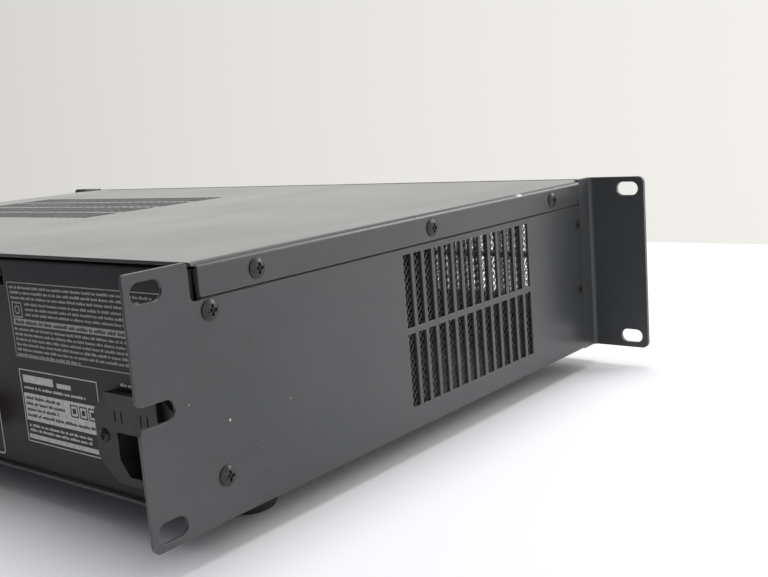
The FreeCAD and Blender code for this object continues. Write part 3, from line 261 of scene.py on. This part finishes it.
def zinc_sheet():
    """Zinc plate with its mottled, slightly streaked passivation."""
    paint = Paint("zinc_sheet", Metallic=1.0)
    mottle = paint.noise(0.012, 5.0, 0.65)
    streak = paint.noise(0.004, 3.0, 0.5, paint.stretched(0.12, 1.0, 1.0))
    base = paint.mix(mottle, (0.50, 0.51, 0.52, 1), (0.66, 0.65, 0.60, 1))
    paint.set("Base Color", paint.mix(paint.spread(streak, 0.5, 0.9), base, grey(0.42)))
    paint.set("Roughness", paint.spread(mottle, 0.3, 0.7, 0.28, 0.46))
    paint.set("Normal", paint.relief(streak, 0.00001, paint.softened(0.0003)))
    return paint.material


def mesh_black():
    """Thin gloss paint on expanded metal: it pools to a shine on the strands and leaves dull patches."""
    paint = Paint("mesh_black", Specular_IOR_Level=0.7)
    patch = paint.noise(0.006, 3.0)
    paint.set("Base Color", paint.mix(patch, grey(0.080), grey(0.170)))
    paint.set("Roughness", paint.spread(patch, 0.3, 0.7, 0.22, 0.38))
    paint.set("Normal", paint.relief(paint.noise(0.0007, 2.0), 0.00002))
    return paint.material


def screw_black():
    """Black oxide steel: dark and oily, with light rubs and a painted highlight on the rim, and hollows painted
    near black as dirt and painted shade.
    """
    paint = Paint("screw_black", Metallic=0.25, Specular_IOR_Level=0.35)
    cloud = paint.noise(0.0035, 3.0)
    base = paint.mix(cloud, grey(0.028), grey(0.050, 0.03))
    # Rim lightened: rubbed wear and a painted edge highlight.
    edge_rub_and_highlight = paint.math("MULTIPLY", paint.edges(0.0003), paint.spread(paint.noise(0.002), 0.35, 0.6, 0.1, 0.6))
    base = paint.mix(edge_rub_and_highlight, base, grey(0.16))
    # Painted shade with grime: hollows darkened to near black and dulled.
    hollow = paint.hollows(0.0012)
    paint.set("Base Color", paint.mix(hollow, base, grey(0.004)))
    oily = paint.spread(cloud, 0.3, 0.7, 0.26, 0.44)
    paint.set("Roughness", paint.math("MAXIMUM", oily, paint.spread(hollow, 0.0, 1.0, 0.0, 0.95)))
    paint.set("Normal", paint.relief(paint.noise(0.0006, 2.0), 0.00001, paint.softened(0.00025)))
    return paint.material


def foot_rubber():
    paint = Paint("foot_rubber", Specular_IOR_Level=0.35)
    cloud = paint.noise(0.008, 4.0)
    base = paint.mix(cloud, grey(0.016), grey(0.030, 0.02))
    scuff = paint.math("MULTIPLY", paint.edges(0.001), paint.spread(paint.noise(0.004), 0.45, 0.7))
    paint.set("Base Color", paint.mix(scuff, base, grey(0.075, 0.03)))
    paint.set("Roughness", paint.spread(cloud, 0.3, 0.7, 0.62, 0.82))
    paint.set("Normal", paint.relief(paint.noise(0.0012, 3.0), 0.00004, paint.softened(0.0005)))
    return paint.material


def plastic(name, dark, light, rough, grain=0.00004, grain_size=0.0008):
    """Moulded plastic: slight colour drift, fine spark-eroded grain and softened, polished edges."""
    paint = Paint(name, Specular_IOR_Level=0.45)
    drift = paint.noise(0.014, 3.0)
    base = paint.mix(drift, dark, light)
    worn = tuple(min(1.0, c * 1.7 + 0.012) for c in light[:3]) + (1.0,)
    handled = paint.spread(paint.noise(0.005), 0.35, 0.7, 0.2, 0.8)
    polish = paint.math("MULTIPLY", paint.edges(0.0004), handled)
    paint.set("Base Color", paint.mix(polish, base, worn))
    paint.set("Roughness", paint.spread(drift, 0.3, 0.7, rough - 0.05, rough + 0.06))
    paint.set("Normal", paint.relief(paint.noise(grain_size, 2.0), grain, paint.softened(0.0003)))
    return paint.material


def plated_metal():
    """Nickel plate with a faint haze and fine handling marks."""
    paint = Paint("plated_metal", Metallic=1.0)
    haze = paint.noise(0.006, 4.0)
    paint.set("Base Color", paint.mix(haze, (0.62, 0.60, 0.56, 1), (0.78, 0.77, 0.74, 1)))
    paint.set("Roughness", paint.spread(haze, 0.3, 0.7, 0.14, 0.30))
    paint.set("Normal", paint.relief(paint.noise(0.0009, 3.0), 0.000012, paint.softened(0.0002)))
    return paint.material


def fuse_glass():
    paint = Paint("fuse_glass", Transmission_Weight=0.7, IOR=1.5)
    haze = paint.noise(0.004, 3.0)
    paint.set("Base Color", paint.mix(haze, (0.80, 0.83, 0.80, 1), (0.92, 0.93, 0.90, 1)))
    paint.set("Roughness", paint.spread(haze, 0.3, 0.7, 0.03, 0.12))
    return paint.material


def bare_aluminium():
    """Mill-finish extrusion, drawn along Y."""
    paint = Paint("bare_aluminium", Metallic=1.0)
    drawn = paint.noise(0.0016, 4.0, 0.6, paint.stretched(1.0, 0.03, 1.0))
    stain = paint.noise(0.02, 4.0)
    paint.set("Base Color", paint.mix(stain, (0.62, 0.63, 0.65, 1), (0.78, 0.78, 0.78, 1)))
    paint.set("Roughness", paint.spread(drawn, 0.3, 0.7, 0.26, 0.44))
    paint.set("Normal", paint.relief(drawn, 0.00003, paint.softened(0.0003)))
    return paint.material


TAPE_LAPS = 36                   # turns of tape once round the transformer's ring


def winding_tape():
    """Amber polyester tape lapped round the transformer, with glossy overlaps."""
    paint = Paint("winding_tape", Coat_Weight=0.4, Coat_Roughness=0.12)
    low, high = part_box("toroid_transformer")
    middle = (low + high) / 2
    moved = paint.vector_math("SUBTRACT", paint.place, middle).outputs["Vector"]
    turn = paint.math("ARCTAN2", paint.axis(moved, "Y"), paint.axis(moved, "X"))
    lap = paint.math("FRACT", paint.math("MULTIPLY", turn, TAPE_LAPS / math.tau))
    drift = paint.noise(0.02, 3.0)
    base = paint.mix(drift, (0.42, 0.24, 0.045, 1), (0.62, 0.40, 0.09, 1))
    paint.set("Base Color", paint.mix(paint.spread(lap, 0.9, 1.0), base, (0.20, 0.10, 0.02, 1)))
    paint.set("Roughness", paint.spread(drift, 0.3, 0.7, 0.2, 0.34))
    paint.set("Normal", paint.relief(lap, 0.0002))
    return paint.material


def board_green():
    """Solder mask over copper tracks."""
    paint = Paint("board_green", Coat_Weight=0.3, Coat_Roughness=0.15)
    track = paint.node("ShaderNodeTexBrick", Vector=paint.place, Color1=(1, 1, 1, 1), Color2=(1, 1, 1, 1),
                       Mortar=(0, 0, 0, 1), Scale=220.0, Mortar_Size=0.03)
    drift = paint.noise(0.01, 3.0)
    base = paint.mix(drift, (0.018, 0.10, 0.040, 1), (0.03, 0.15, 0.06, 1))
    paint.set("Base Color", paint.mix(track.outputs["Fac"], base, (0.012, 0.055, 0.025, 1)))
    paint.set("Roughness", paint.spread(drift, 0.3, 0.7, 0.3, 0.42))
    paint.set("Normal", paint.relief(track.outputs["Fac"], 0.00004))
    return paint.material


def brass():
    paint = Paint("brass", Metallic=1.0)
    tarnish = paint.noise(0.004, 4.0)
    paint.set("Base Color", paint.mix(tarnish, (0.55, 0.38, 0.13, 1), (0.75, 0.56, 0.24, 1)))
    paint.set("Roughness", paint.spread(tarnish, 0.3, 0.7, 0.2, 0.4))
    paint.set("Normal", paint.relief(paint.noise(0.0006), 0.00001, paint.softened(0.0002)))
    return paint.material


def lens_plastic():
    paint = Paint("lens_plastic", Transmission_Weight=0.35, IOR=1.49, Coat_Weight=0.5, Coat_Roughness=0.05)
    drift = paint.noise(0.002, 2.0)
    paint.set("Base Color", paint.mix(drift, (0.10, 0.42, 0.14, 1), (0.18, 0.55, 0.20, 1)))
    paint.set("Roughness", paint.spread(drift, 0.3, 0.7, 0.10, 0.2))
    return paint.material


def screen_ink(name, level, wear=0.35):
    """Screen-printed ink: slightly uneven cover that thins out in places."""
    paint = Paint(name, Specular_IOR_Level=0.35)
    cover = paint.noise(0.0022, 4.0, 0.7)
    base = paint.mix(paint.spread(cover, 0.25, 0.75), grey(level * (1 - wear)), grey(level, 0.02))
    paint.set("Base Color", base)
    paint.set("Roughness", paint.spread(cover, 0.3, 0.7, 0.42, 0.6))
    paint.set("Normal", paint.relief(paint.noise(0.0006, 2.0), 0.00001))
    return paint.material


# By the record's material slot.
MATERIALS = {
    "powder_coat": powder_coat(),
    "fascia_paint": fascia_paint(),
    "zinc_sheet": zinc_sheet(),
    "mesh_black": mesh_black(),
    "screw_black": screw_black(),
    "foot_rubber": foot_rubber(),
    "moulded_black": plastic("moulded_black", grey(0.018), grey(0.030, -0.02), 0.42),
    "switch_plastic": plastic("switch_plastic", grey(0.022), grey(0.034), 0.34, 0.00002),
    "knob_plastic": plastic("knob_plastic", grey(0.020), grey(0.032), 0.38, 0.00003),
    "latch_plastic": plastic("latch_plastic", grey(0.07), grey(0.10), 0.4),
    "red_plastic": plastic("red_plastic", (0.36, 0.012, 0.012, 1), (0.50, 0.022, 0.020, 1), 0.28, 0.00001),
    "black_plastic": plastic("black_plastic", grey(0.014), grey(0.024), 0.26, 0.00001),
    "plated_metal": plated_metal(),
    "fuse_glass": fuse_glass(),
    "bare_aluminium": bare_aluminium(),
    "winding_tape": winding_tape(),
    "board_green": board_green(),
    "brass": brass(),
    "lens_plastic": lens_plastic(),
}
# Painted shade: a darker copy of the case coat for the rear panel.
SHADED_REAR_COAT = powder_coat("rear_coat_painted_shade", 0.014, 0.021, 0.32, 0.40)
# Painted light: a lighter copy of the case coat for the rack ears.
LIT_EAR_COAT = powder_coat("ear_coat_painted_light", 0.052, 0.072, 0.5, 0.32)
LIGHT_INK = screen_ink("light_ink", 0.76)
GREY_INK = screen_ink("grey_ink", 0.46)
DARK_INK = screen_ink("dark_ink", 0.030, 0.3)
POINTER_PAINT = screen_ink("pointer_paint", 0.62, 0.2)


# ---- mesh helpers -------------------------------------------------------------------------------
def finished(name, bm, material, body=CHASSIS):
    """Object from a bmesh, with its material, riding on a body."""
    bmesh.ops.recalc_face_normals(bm, faces=bm.faces)
    mesh = bpy.data.meshes.new(name)
    bm.to_mesh(mesh)
    bm.free()
    made = bpy.data.objects.new(name, mesh)
    bpy.context.scene.collection.objects.link(made)
    mesh.materials.append(material)
    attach(made, body)
    return made


def prism(bm, outline, matrix, depth):
    """Closed slab: a 2D outline in metres, depth thick, put in place by a matrix."""
    back = [bm.verts.new(matrix @ Vector((x, y, 0))) for x, y in outline]
    front = [bm.verts.new(matrix @ Vector((x, y, depth))) for x, y in outline]
    count = len(outline)
    bm.faces.new(back[::-1])
    bm.faces.new(front)
    for i in range(count):
        j = (i + 1) % count
        bm.faces.new((back[i], back[j], front[j], front[i]))


def band(bm, outer, inner, matrix, depth):
    """Closed ring between two outlines that have the same number of points."""
    rings = []
    for outline, height in ((outer, 0), (outer, depth), (inner, depth), (inner, 0)):
        rings.append([bm.verts.new(matrix @ Vector((x, y, height))) for x, y in outline])
    count = len(outer)
    for k in range(4):
        near, far = rings[k], rings[(k + 1) % 4]
        for i in range(count):
            j = (i + 1) % count
            bm.faces.new((near[i], near[j], far[j], far[i]))


def rectangle(x0, x1, y0, y1):
    return [(x0, y0), (x1, y0), (x1, y1), (x0, y1)]


def round_rectangle(width, height, inset, radius, steps=5):
    """Outline with rounded corners, from (0, 0) down and to the right, drawn inset from the edge."""
    bend = max(radius - inset, 0.02 * MM)
    points = []
    for turn, (cx, cy) in enumerate(((width - inset - bend, -inset - bend), (inset + bend, -inset - bend),
                                     (inset + bend, inset + bend - height),
                                     (width - inset - bend, inset + bend - height))):
        for step in range(steps + 1):
            angle = math.radians(90 * (turn + step / steps))
            points.append((cx + bend * math.cos(angle), cy + bend * math.sin(angle)))
    return points


def circle(radius, steps=24):
    return [(radius * math.cos(math.tau * i / steps), radius * math.sin(math.tau * i / steps))
            for i in range(steps)]


# ---- expanded metal behind the vents --------------------------------------------------------------
DIAMOND_WIDE = 2.6 * MM
DIAMOND_TALL = 3.2 * MM
HOLE_SHARE = 0.84                # a hole's width as part of its diamond's
STRAND_TILT = 0.15 * MM
STRAND_THICK = 0.15 * MM


def expanded_sheet(bm, low, high, normal):
    """Staggered diamond holes between tilted strands, over a box that is thin along one axis."""
    across, up = [axis for axis in range(3) if axis != normal]
    half_wide, half_tall = DIAMOND_WIDE / 2, DIAMOND_TALL / 2
    columns = int((high[across] - low[across]) / half_wide)
    rows = int((high[up] - low[up]) / half_tall)
    middle = (low[normal] + high[normal]) / 2
    lattice = {}

    def point(i, j, proud=0.0):
        place = [0.0, 0.0, 0.0]
        place[across] = low[across] + i * half_wide
        place[up] = low[up] + j * half_tall
        place[normal] = middle + proud
        return Vector(place)

    def corner(i, j):
        if (i, j) not in lattice:
            lattice[(i, j)] = bm.verts.new(point(i, j))
        return lattice[(i, j)]

    for i in range(1, columns):
        for j in range(1 + i % 2, rows, 2):
            rim = [corner(i - 1, j), corner(i, j + 1), corner(i + 1, j), corner(i, j - 1)]
            hole = [bm.verts.new(point(i + HOLE_SHARE * a, j + HOLE_SHARE * b, -b * STRAND_TILT))
                    for a, b in ((-1, 0), (0, 1), (1, 0), (0, -1))]
            for k in range(4):
                n = (k + 1) % 4
                bm.faces.new((rim[k], rim[n], hole[n], hole[k]))


def make_vent_screens():
    for node, normal in (("left_vent_mesh", 0), ("right_vent_mesh", 0), ("top_vent_mesh", 2)):
        bm = bmesh.new()
        expanded_sheet(bm, *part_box(node), normal)
        hang_screen(bm, node.replace("mesh", "screen"), node)
    bm = bmesh.new()
    node = "front_vent_meshes"
    low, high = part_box(node)
    inner = min(v.co.x for v in frame["nodes"][node].data.vertices if v.co.x > 0)
    expanded_sheet(bm, low, (-inner, high.y, high.z), 1)
    expanded_sheet(bm, (inner, low.y, low.z), high, 1)
    hang_screen(bm, "front_vent_screens", node)


def hang_screen(bm, name, node):
    bmesh.ops.recalc_face_normals(bm, faces=bm.faces)
    bmesh.ops.solidify(bm, geom=bm.faces[:], thickness=STRAND_THICK)
    screen = finished(name, bm, MATERIALS["mesh_black"])
    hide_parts(node)


# ---- print on the rear and front ------------------------------------------------------------------
INK_LIFT = 0.05 * MM             # how far one layer of ink stands proud of what it is printed on
INK_SUNK = 0.02 * MM             # how far it reaches into it, so that no gap shows


class Print:
    """Flat ink on an upright face, drawn in millimetres to the right of and below its top left corner."""

    def __init__(self, node, rear, left, top, layer=0):
        low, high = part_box(node)
        self.bm = bmesh.new()
        face = high.y if rear else low.y
        turned = Matrix.Rotation(math.radians(90), 4, "X")
        if rear:
            turned = Matrix.Rotation(math.radians(180), 4, "Z") @ turned
        sunk = INK_SUNK - layer * INK_LIFT
        self.place = Matrix.Translation((left, face, top)) @ turned @ Matrix.Translation((0, 0, -sunk))
        self.depth = INK_LIFT + INK_SUNK

    def block(self, x, y, width, height):
        outline = rectangle(x * MM, (x + width) * MM, -(y + height) * MM, -y * MM)
        prism(self.bm, outline, self.place, self.depth)

    def outline(self, x, y, width, height, line, radius=0.3):
        moved = self.place @ Matrix.Translation((x * MM, -y * MM, 0))
        outer = round_rectangle(width * MM, height * MM, 0, radius * MM)
        inner = round_rectangle(width * MM, height * MM, line * MM, radius * MM)
        band(self.bm, outer, inner, moved, self.depth)

    def ring(self, x, y, radius, line):
        moved = self.place @ Matrix.Translation((x * MM, -y * MM, 0))
        band(self.bm, circle(radius * MM), circle((radius - line) * MM), moved, self.depth)

    def tick(self, x, y, angle, start, end, line):
        """Short radial line about a point, at an angle in degrees clockwise from straight up."""
        moved = self.place @ Matrix.Translation((x * MM, -y * MM, 0))
        moved = moved @ Matrix.Rotation(math.radians(-angle), 4, "Z")
        prism(self.bm, rectangle(-line / 2 * MM, line / 2 * MM, start * MM, end * MM), moved, self.depth)

    def words(self, x, y, width, height=1.0, share=1.0):
        """A line of greeked type: words of small upright blocks, up to share of the width."""
        glyph, gap, space = 0.56 * height, 0.20 * height, 0.62 * height
        end = x + width * share
        while True:
            for _ in range(draw.randint(2, 9)):
                if x + glyph > end:
                    return
                tall = height if draw.random() < 0.35 else 0.74 * height
                self.block(x, y + height - tall, glyph, tall)
                x += glyph + gap
            x += space

    def number(self, x, y, value, height):
        """A number centred on a point."""
        curve = bpy.data.curves.new("number", "FONT")
        curve.body = str(value)
        curve.size = height * MM
        curve.align_x = "CENTER"
        curve.align_y = "CENTER"
        curve.extrude = self.depth / 2
        curve.resolution_u = 3
        lettering = bpy.data.objects.new("number", curve)
        mesh = bpy.data.meshes.new_from_object(lettering)
        mesh.transform(self.place @ Matrix.Translation((x * MM, -y * MM, self.depth / 2)))
        self.bm.from_mesh(mesh)
        bpy.data.objects.remove(lettering)
        bpy.data.curves.remove(curve)
        bpy.data.meshes.remove(mesh)

    def done(self, name, material, body=CHASSIS):
        bmesh.ops.remove_doubles(self.bm, verts=self.bm.verts, dist=0.001 * MM)
        return finished(name, self.bm, material, body)


def make_notice_print():
    """Framed block of small greeked type, with one light band across it and a plain square icon."""
    left, top, width, height = -0.1033, 0.0865, 94.0, 29.2
    ink = Print("rear_panel", True, left, top)
    ink.outline(0, 0, width, height, 0.35)
    y = 1.5
    for _ in range(3):
        ink.words(1.6, y, width - 3.2, share=draw.uniform(0.93, 1.0))
        y += 2.0
    ink.outline(1.8, y + 0.2, 6.6, 6.0, 0.5)
    ink.ring(5.1, y + 3.2, 1.7, 0.45)
    for _ in range(3):
        ink.words(10.5, y + 0.2, width - 12.2, share=draw.uniform(0.85, 1.0))
        y += 2.0
    y += 0.6
    ink.block(1.6, y, width - 3.2, 2.6)
    over = Print("rear_panel", True, left, top, 1)
    over.words(3.0, y + 0.65, width - 6.0, 1.3)
    y += 3.6
    for line in range(6):
        ink.words(1.6, y, width - 3.2, share=draw.uniform(0.8, 1.0) if line < 5 else 0.45)
        y += 2.0
    ink.done("notice_print", GREY_INK)
    over.done("notice_band_print", DARK_INK)


def make_rating_print():
    """Framed rating block: dark head with bars, a light field with dark bars and squares, dark foot."""
    left, top, width, height = -0.1036, 0.0524, 50.0, 29.2
    ink = Print("rear_panel", True, left, top)
    over = Print("rear_panel", True, left, top, 1)
    ink.outline(0, 0, width, height, 0.4)
    ink.block(2.2, 2.2, 20.0, 3.0)
    ink.block(24.5, 3.4, 9.0, 1.8)
    ink.words(2.2, 6.6, 40.0, 1.1)
    field, field_height = 9.4, 11.0
    ink.block(1.2, field, width - 2.4, field_height)
    for line in range(3):
        over.words(2.4, field + 1.2 + 2.3 * line, 27.0, 1.2, draw.uniform(0.75, 1.0))
    for column in range(3):
        over.outline(31.6 + 5.6 * column, field + 1.2, 4.8, 4.8, 0.5)
        over.block(33.0 + 5.6 * column, field + 2.6, 2.0, 2.0)
    over.words(2.4, field + 8.2, 44.0, 1.2)
    for line in range(2):
        ink.words(2.2, 21.8 + 1.9 * line, 44.0, 1.1, draw.uniform(0.8, 1.0))
    ink.block(1.2, 26.0, width - 2.4, 1.8)
    ink.done("rating_print", LIGHT_INK)
    over.done("rating_field_print", DARK_INK)


def make_connector_print():
    """Section frames, plus and minus marks and short label bars round the rear connectors."""
    speaker_left, speaker_top = -0.005, 0.0815
    speaker = Print("rear_panel", True, speaker_left, speaker_top)
    speaker.outline(0, 0, 80.0, 67.0, 0.6, 2.0)
    speaker.block(36.5, 3.0, 7.0, 1.8)
    for middle in (22.0, 58.0):
        speaker.words(middle - 9.0, 34.8, 18.0, 1.3, 0.9)
    for name in ("red_a", "black_a", "red_b", "black_b"):
        low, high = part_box("post_cap_" + name)
        x = (speaker_left - (low.x + high.x) / 2) / MM
        speaker.block(x - 1.3, 62.3, 2.6, 0.6)
        if name.startswith("red"):
            speaker.block(x - 0.3, 61.3, 0.6, 1.0)
            speaker.block(x - 0.3, 62.9, 0.6, 1.0)
    speaker.done("speaker_print", LIGHT_INK)
    inputs = Print("rear_panel", True, 0.202, 0.082)
    inputs.outline(0, 0, 78.0, 61.0, 0.6, 2.0)
    for middle in (18.0, 60.0):
        inputs.words(middle - 8.0, 36.6, 16.0, 1.3, 0.95)
        inputs.words(middle - 11.0, 45.6, 22.0, 1.1, 0.95)
        inputs.words(middle - 11.0, 57.0, 22.0, 1.1, 0.6)
    inputs.done("input_print", LIGHT_INK)
    mains = Print("rear_panel", True, -0.1668, 0.0536)
    mains.words(0.8, 0, 18.0, 1.2)
    mains.done("mains_print", LIGHT_INK)


DIAL_START = -150                # degrees clockwise from straight up, where a level dial reads 0
DIAL_MARKS = 40                  # steps between marks from 0 to 10, of which every fourth has a number
DIAL_RING = 12.6                 # millimetres from the knob's middle to the inner end of a mark
NUMBER_RING = 16.9
LABELS_LEFT_OF_LAMPS = -51.4     # millimetres from the middle of the front
LABELS_RIGHT_OF_LAMPS = -33.2
LENS_RADIUS = 2.0 * MM


def make_front_print():
    """Dial scales with numbers round the level knobs, and label bars by the lamps and the rocker."""
    ink = Print("front_fascia", False, 0.0, 0.0)
    fascia_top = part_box("front_fascia")[1].z
    for name in ("a", "b"):
        low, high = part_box("level_knob_" + name)
        x, y = (low.x + high.x) / 2 / MM, -(low.z + high.z) / 2 / MM
        swing = -2 * DIAL_START
        for step in range(DIAL_MARKS + 1):
            end, line = (14.6, 0.4) if step % 4 == 0 else (13.5, 0.22)
            ink.tick(x, y, DIAL_START + swing * step / DIAL_MARKS, DIAL_RING, end, line)
        for value in range(11):
            angle = math.radians(DIAL_START + swing * value / 10)
            ink.number(x + NUMBER_RING * math.sin(angle), y - NUMBER_RING * math.cos(angle), value, 2.8)
        ink.words(x - 7.0, y + 20.5, 14.0, 1.6, 0.95)
    low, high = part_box("led_lenses")
    for start in (LABELS_LEFT_OF_LAMPS, LABELS_RIGHT_OF_LAMPS):
        for z in (low.z + LENS_RADIUS, high.z - LENS_RADIUS):
            ink.words(start, -z / MM - 0.6, 5.0, 1.2)
    low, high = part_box("rocker_housing")
    ink.words((low.x + high.x) / 2 / MM - 7.0, -low.z / MM + 2.4, 14.0, 1.6, 0.95)
    ink.outline(-96.0, -fascia_top / MM + 14.0, 192.0, 60.0, 0.35, 3.0)
    ink.done("front_print", LIGHT_INK)


def make_knob_pointers():
    """Paint in the pointer groove of each knob."""
    for name in ("a", "b"):
        low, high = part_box("level_knob_" + name)
        x, z = (low.x + high.x) / 2, (low.z + high.z) / 2
        bm = bmesh.new()
        place = Matrix.Translation((x, low.y + 0.62 * MM, z)) @ Matrix.Rotation(math.radians(90), 4, "X")
        prism(bm, rectangle(-0.46 * MM, 0.46 * MM, 2.1 * MM, 9.3 * MM), place, 0.5 * MM)
        finished("pointer_" + name, bm, POINTER_PAINT, "level_knob_" + name)


PADDLE_TIP = 8                   # degrees that the rocker's paddle leans at rest
PADDLE_SLOPE = math.atan2(1.4, 12.0)     # angle between each half of the paddle and the line across both


def make_rocker_marks():
    """The bar and the ring moulded on the two halves of the tipped paddle."""
    hinge = next(joint["pos_m"] for joint in frame["joints"] if joint["child"] == "power_rocker")
    tipped = Matrix.Translation(hinge) @ Matrix.Rotation(math.radians(PADDLE_TIP), 4, "X")
    facing = Matrix.Rotation(math.radians(90), 4, "X")
    bm = bmesh.new()
    for side in (-1, 1):
        spot = Matrix.Translation((0, -4.14 * MM, side * 4.8 * MM))
        place = tipped @ spot @ Matrix.Rotation(side * PADDLE_SLOPE, 4, "X") @ facing
        if side > 0:
            prism(bm, rectangle(-0.4 * MM, 0.4 * MM, -1.9 * MM, 1.9 * MM), place, 0.1 * MM)
        else:
            band(bm, circle(1.7 * MM), circle(1.0 * MM), place, 0.1 * MM)
    finished("rocker_marks", bm, POINTER_PAINT, "power_rocker")


def dress_cad_nodes():
    """The record's finish on every CAD node. The rear panel gets a darker, duller copy of the case coat, a
    painted shade, and the rack ears a little lighter copy, a painted light."""
    for part in frame["record"]["subparts"]:
        shape = frame["nodes"][part["node"]]
        shape.data.materials.clear()
        shape.data.materials.append(MATERIALS[part["material_slot"]])
    frame["nodes"]["rear_panel"].data.materials[0] = SHADED_REAR_COAT
    # The ears take the lighter copy of the coat, a painted light.
    for node in ("left_ear_bracket", "right_ear_bracket"):
        frame["nodes"][node].data.materials[0] = LIT_EAR_COAT


dress_cad_nodes()
make_vent_screens()
make_notice_print()
make_rating_print()
make_connector_print()
make_front_print()
make_knob_pointers()
make_rocker_marks()


# ---- stage, light and camera --------------------------------------------------------------------
FLOOR_FRONT = -0.556             # the pale table ends here ahead of the amplifier
FLOOR_REAR = 0.45
FLOOR_LEFT = -2.0
FLOOR_RIGHT = 0.50
FLOOR_DROP = 0.2 * MM            # just clear of the feet


def make_floor():
    bm = bmesh.new()
    for x, y in rectangle(FLOOR_LEFT, FLOOR_RIGHT, FLOOR_FRONT, FLOOR_REAR):
        bm.verts.new((x, y, -FLOOR_DROP))
    bm.faces.new(bm.verts)
    mesh = bpy.data.meshes.new("floor")
    bm.to_mesh(mesh)
    bm.free()
    floor = bpy.data.objects.new("floor", mesh)
    bpy.context.scene.collection.objects.link(floor)
    paint = Paint("floor_white", Roughness=0.75, Specular_IOR_Level=0.2)
    cloud = paint.noise(0.3, 2.0)
    paint.set("Base Color", paint.mix(cloud, (0.84, 0.835, 0.86, 1), (0.87, 0.865, 0.89, 1)))
    mesh.materials.append(paint.material)


BRIGHT_SIDE = Vector((-0.40, -0.92, 0.0))       # the way from the amplifier to the room's brightest wall
COOL_LIGHT = (0.86, 0.95, 1.12, 1)
WARM_LIGHT = (1.0, 0.985, 0.955, 1)
WALL_TINT = (1.0, 0.982, 0.940, 1)


def make_world():
    """Pale room: its walls are bright ahead of the amplifier and on its left, and dim behind it and
    overhead. Seen directly, it is a pale wall all round, and as pale as the floor below."""
    world = bpy.data.worlds.new("room")
    bpy.context.scene.world = world
    world.use_nodes = True
    room = Nodes(world.node_tree, "Background")
    direction = room.tree.nodes.new("ShaderNodeTexCoord").outputs["Generated"]
    height = room.axis(direction, "Z")
    ahead = room.vector_math("DOT_PRODUCT", direction, BRIGHT_SIDE).outputs["Value"]
    around = room.spread(ahead, -0.95, 0.10, 0.03, 1.0)
    ceiling = room.spread(height, 0.22, 0.60, 1.2, 0.5)
    light = room.math("MULTIPLY", around, ceiling)
    lengthwise = room.math("ABSOLUTE", room.axis(direction, "Y"))
    wall = room.spread(lengthwise, 0.0, 1.0, 0.45, 0.91, "LINEAR")
    seen = room.mix(room.spread(height, -0.14, -0.34), wall, 0.94, "FLOAT")
    direct = room.tree.nodes.new("ShaderNodeLightPath").outputs["Is Camera Ray"]
    room.set("Strength", room.mix(direct, light, seen, "FLOAT"))
    tint = room.mix(room.spread(ahead, -0.8, 0.1), COOL_LIGHT, WARM_LIGHT)
    room.set("Color", room.mix(direct, tint, WALL_TINT))


def add_softbox(name, spot, aim, width, height, power):
    data = bpy.data.lights.new(name, "AREA")
    data.shape = "RECTANGLE"
    data.size = width
    data.size_y = height
    data.energy = power
    lamp = bpy.data.objects.new(name, data)
    bpy.context.scene.collection.objects.link(lamp)
    lamp.location = spot
    lamp.rotation_euler = (Vector(aim) - Vector(spot)).to_track_quat("-Z", "Y").to_euler()


def make_camera():
    """Long lens low behind the left rear corner, turned slightly clockwise."""
    data = bpy.data.cameras.new("camera")
    data.lens = 46.56
    data.sensor_width = 36.0
    data.clip_start = 0.01
    camera = bpy.data.objects.new("camera", data)
    bpy.context.scene.collection.objects.link(camera)
    camera.location = (-0.4518, 0.3294, 0.1378)
    camera.rotation_euler = [math.radians(a) for a in (80.094, 4.357, -141.507)]
    bpy.context.scene.camera = camera


make_floor()
make_world()
add_softbox("overhead", (-0.10, -0.26, 1.45), (0, 0, 0.05), 0.8, 0.8, 16)
add_softbox("ahead_left", (-0.95, -1.20, 0.80), (-0.2, 0, 0.08), 0.9, 0.5, 9)
make_camera()
bpy.context.scene.view_settings.view_transform = "Standard"
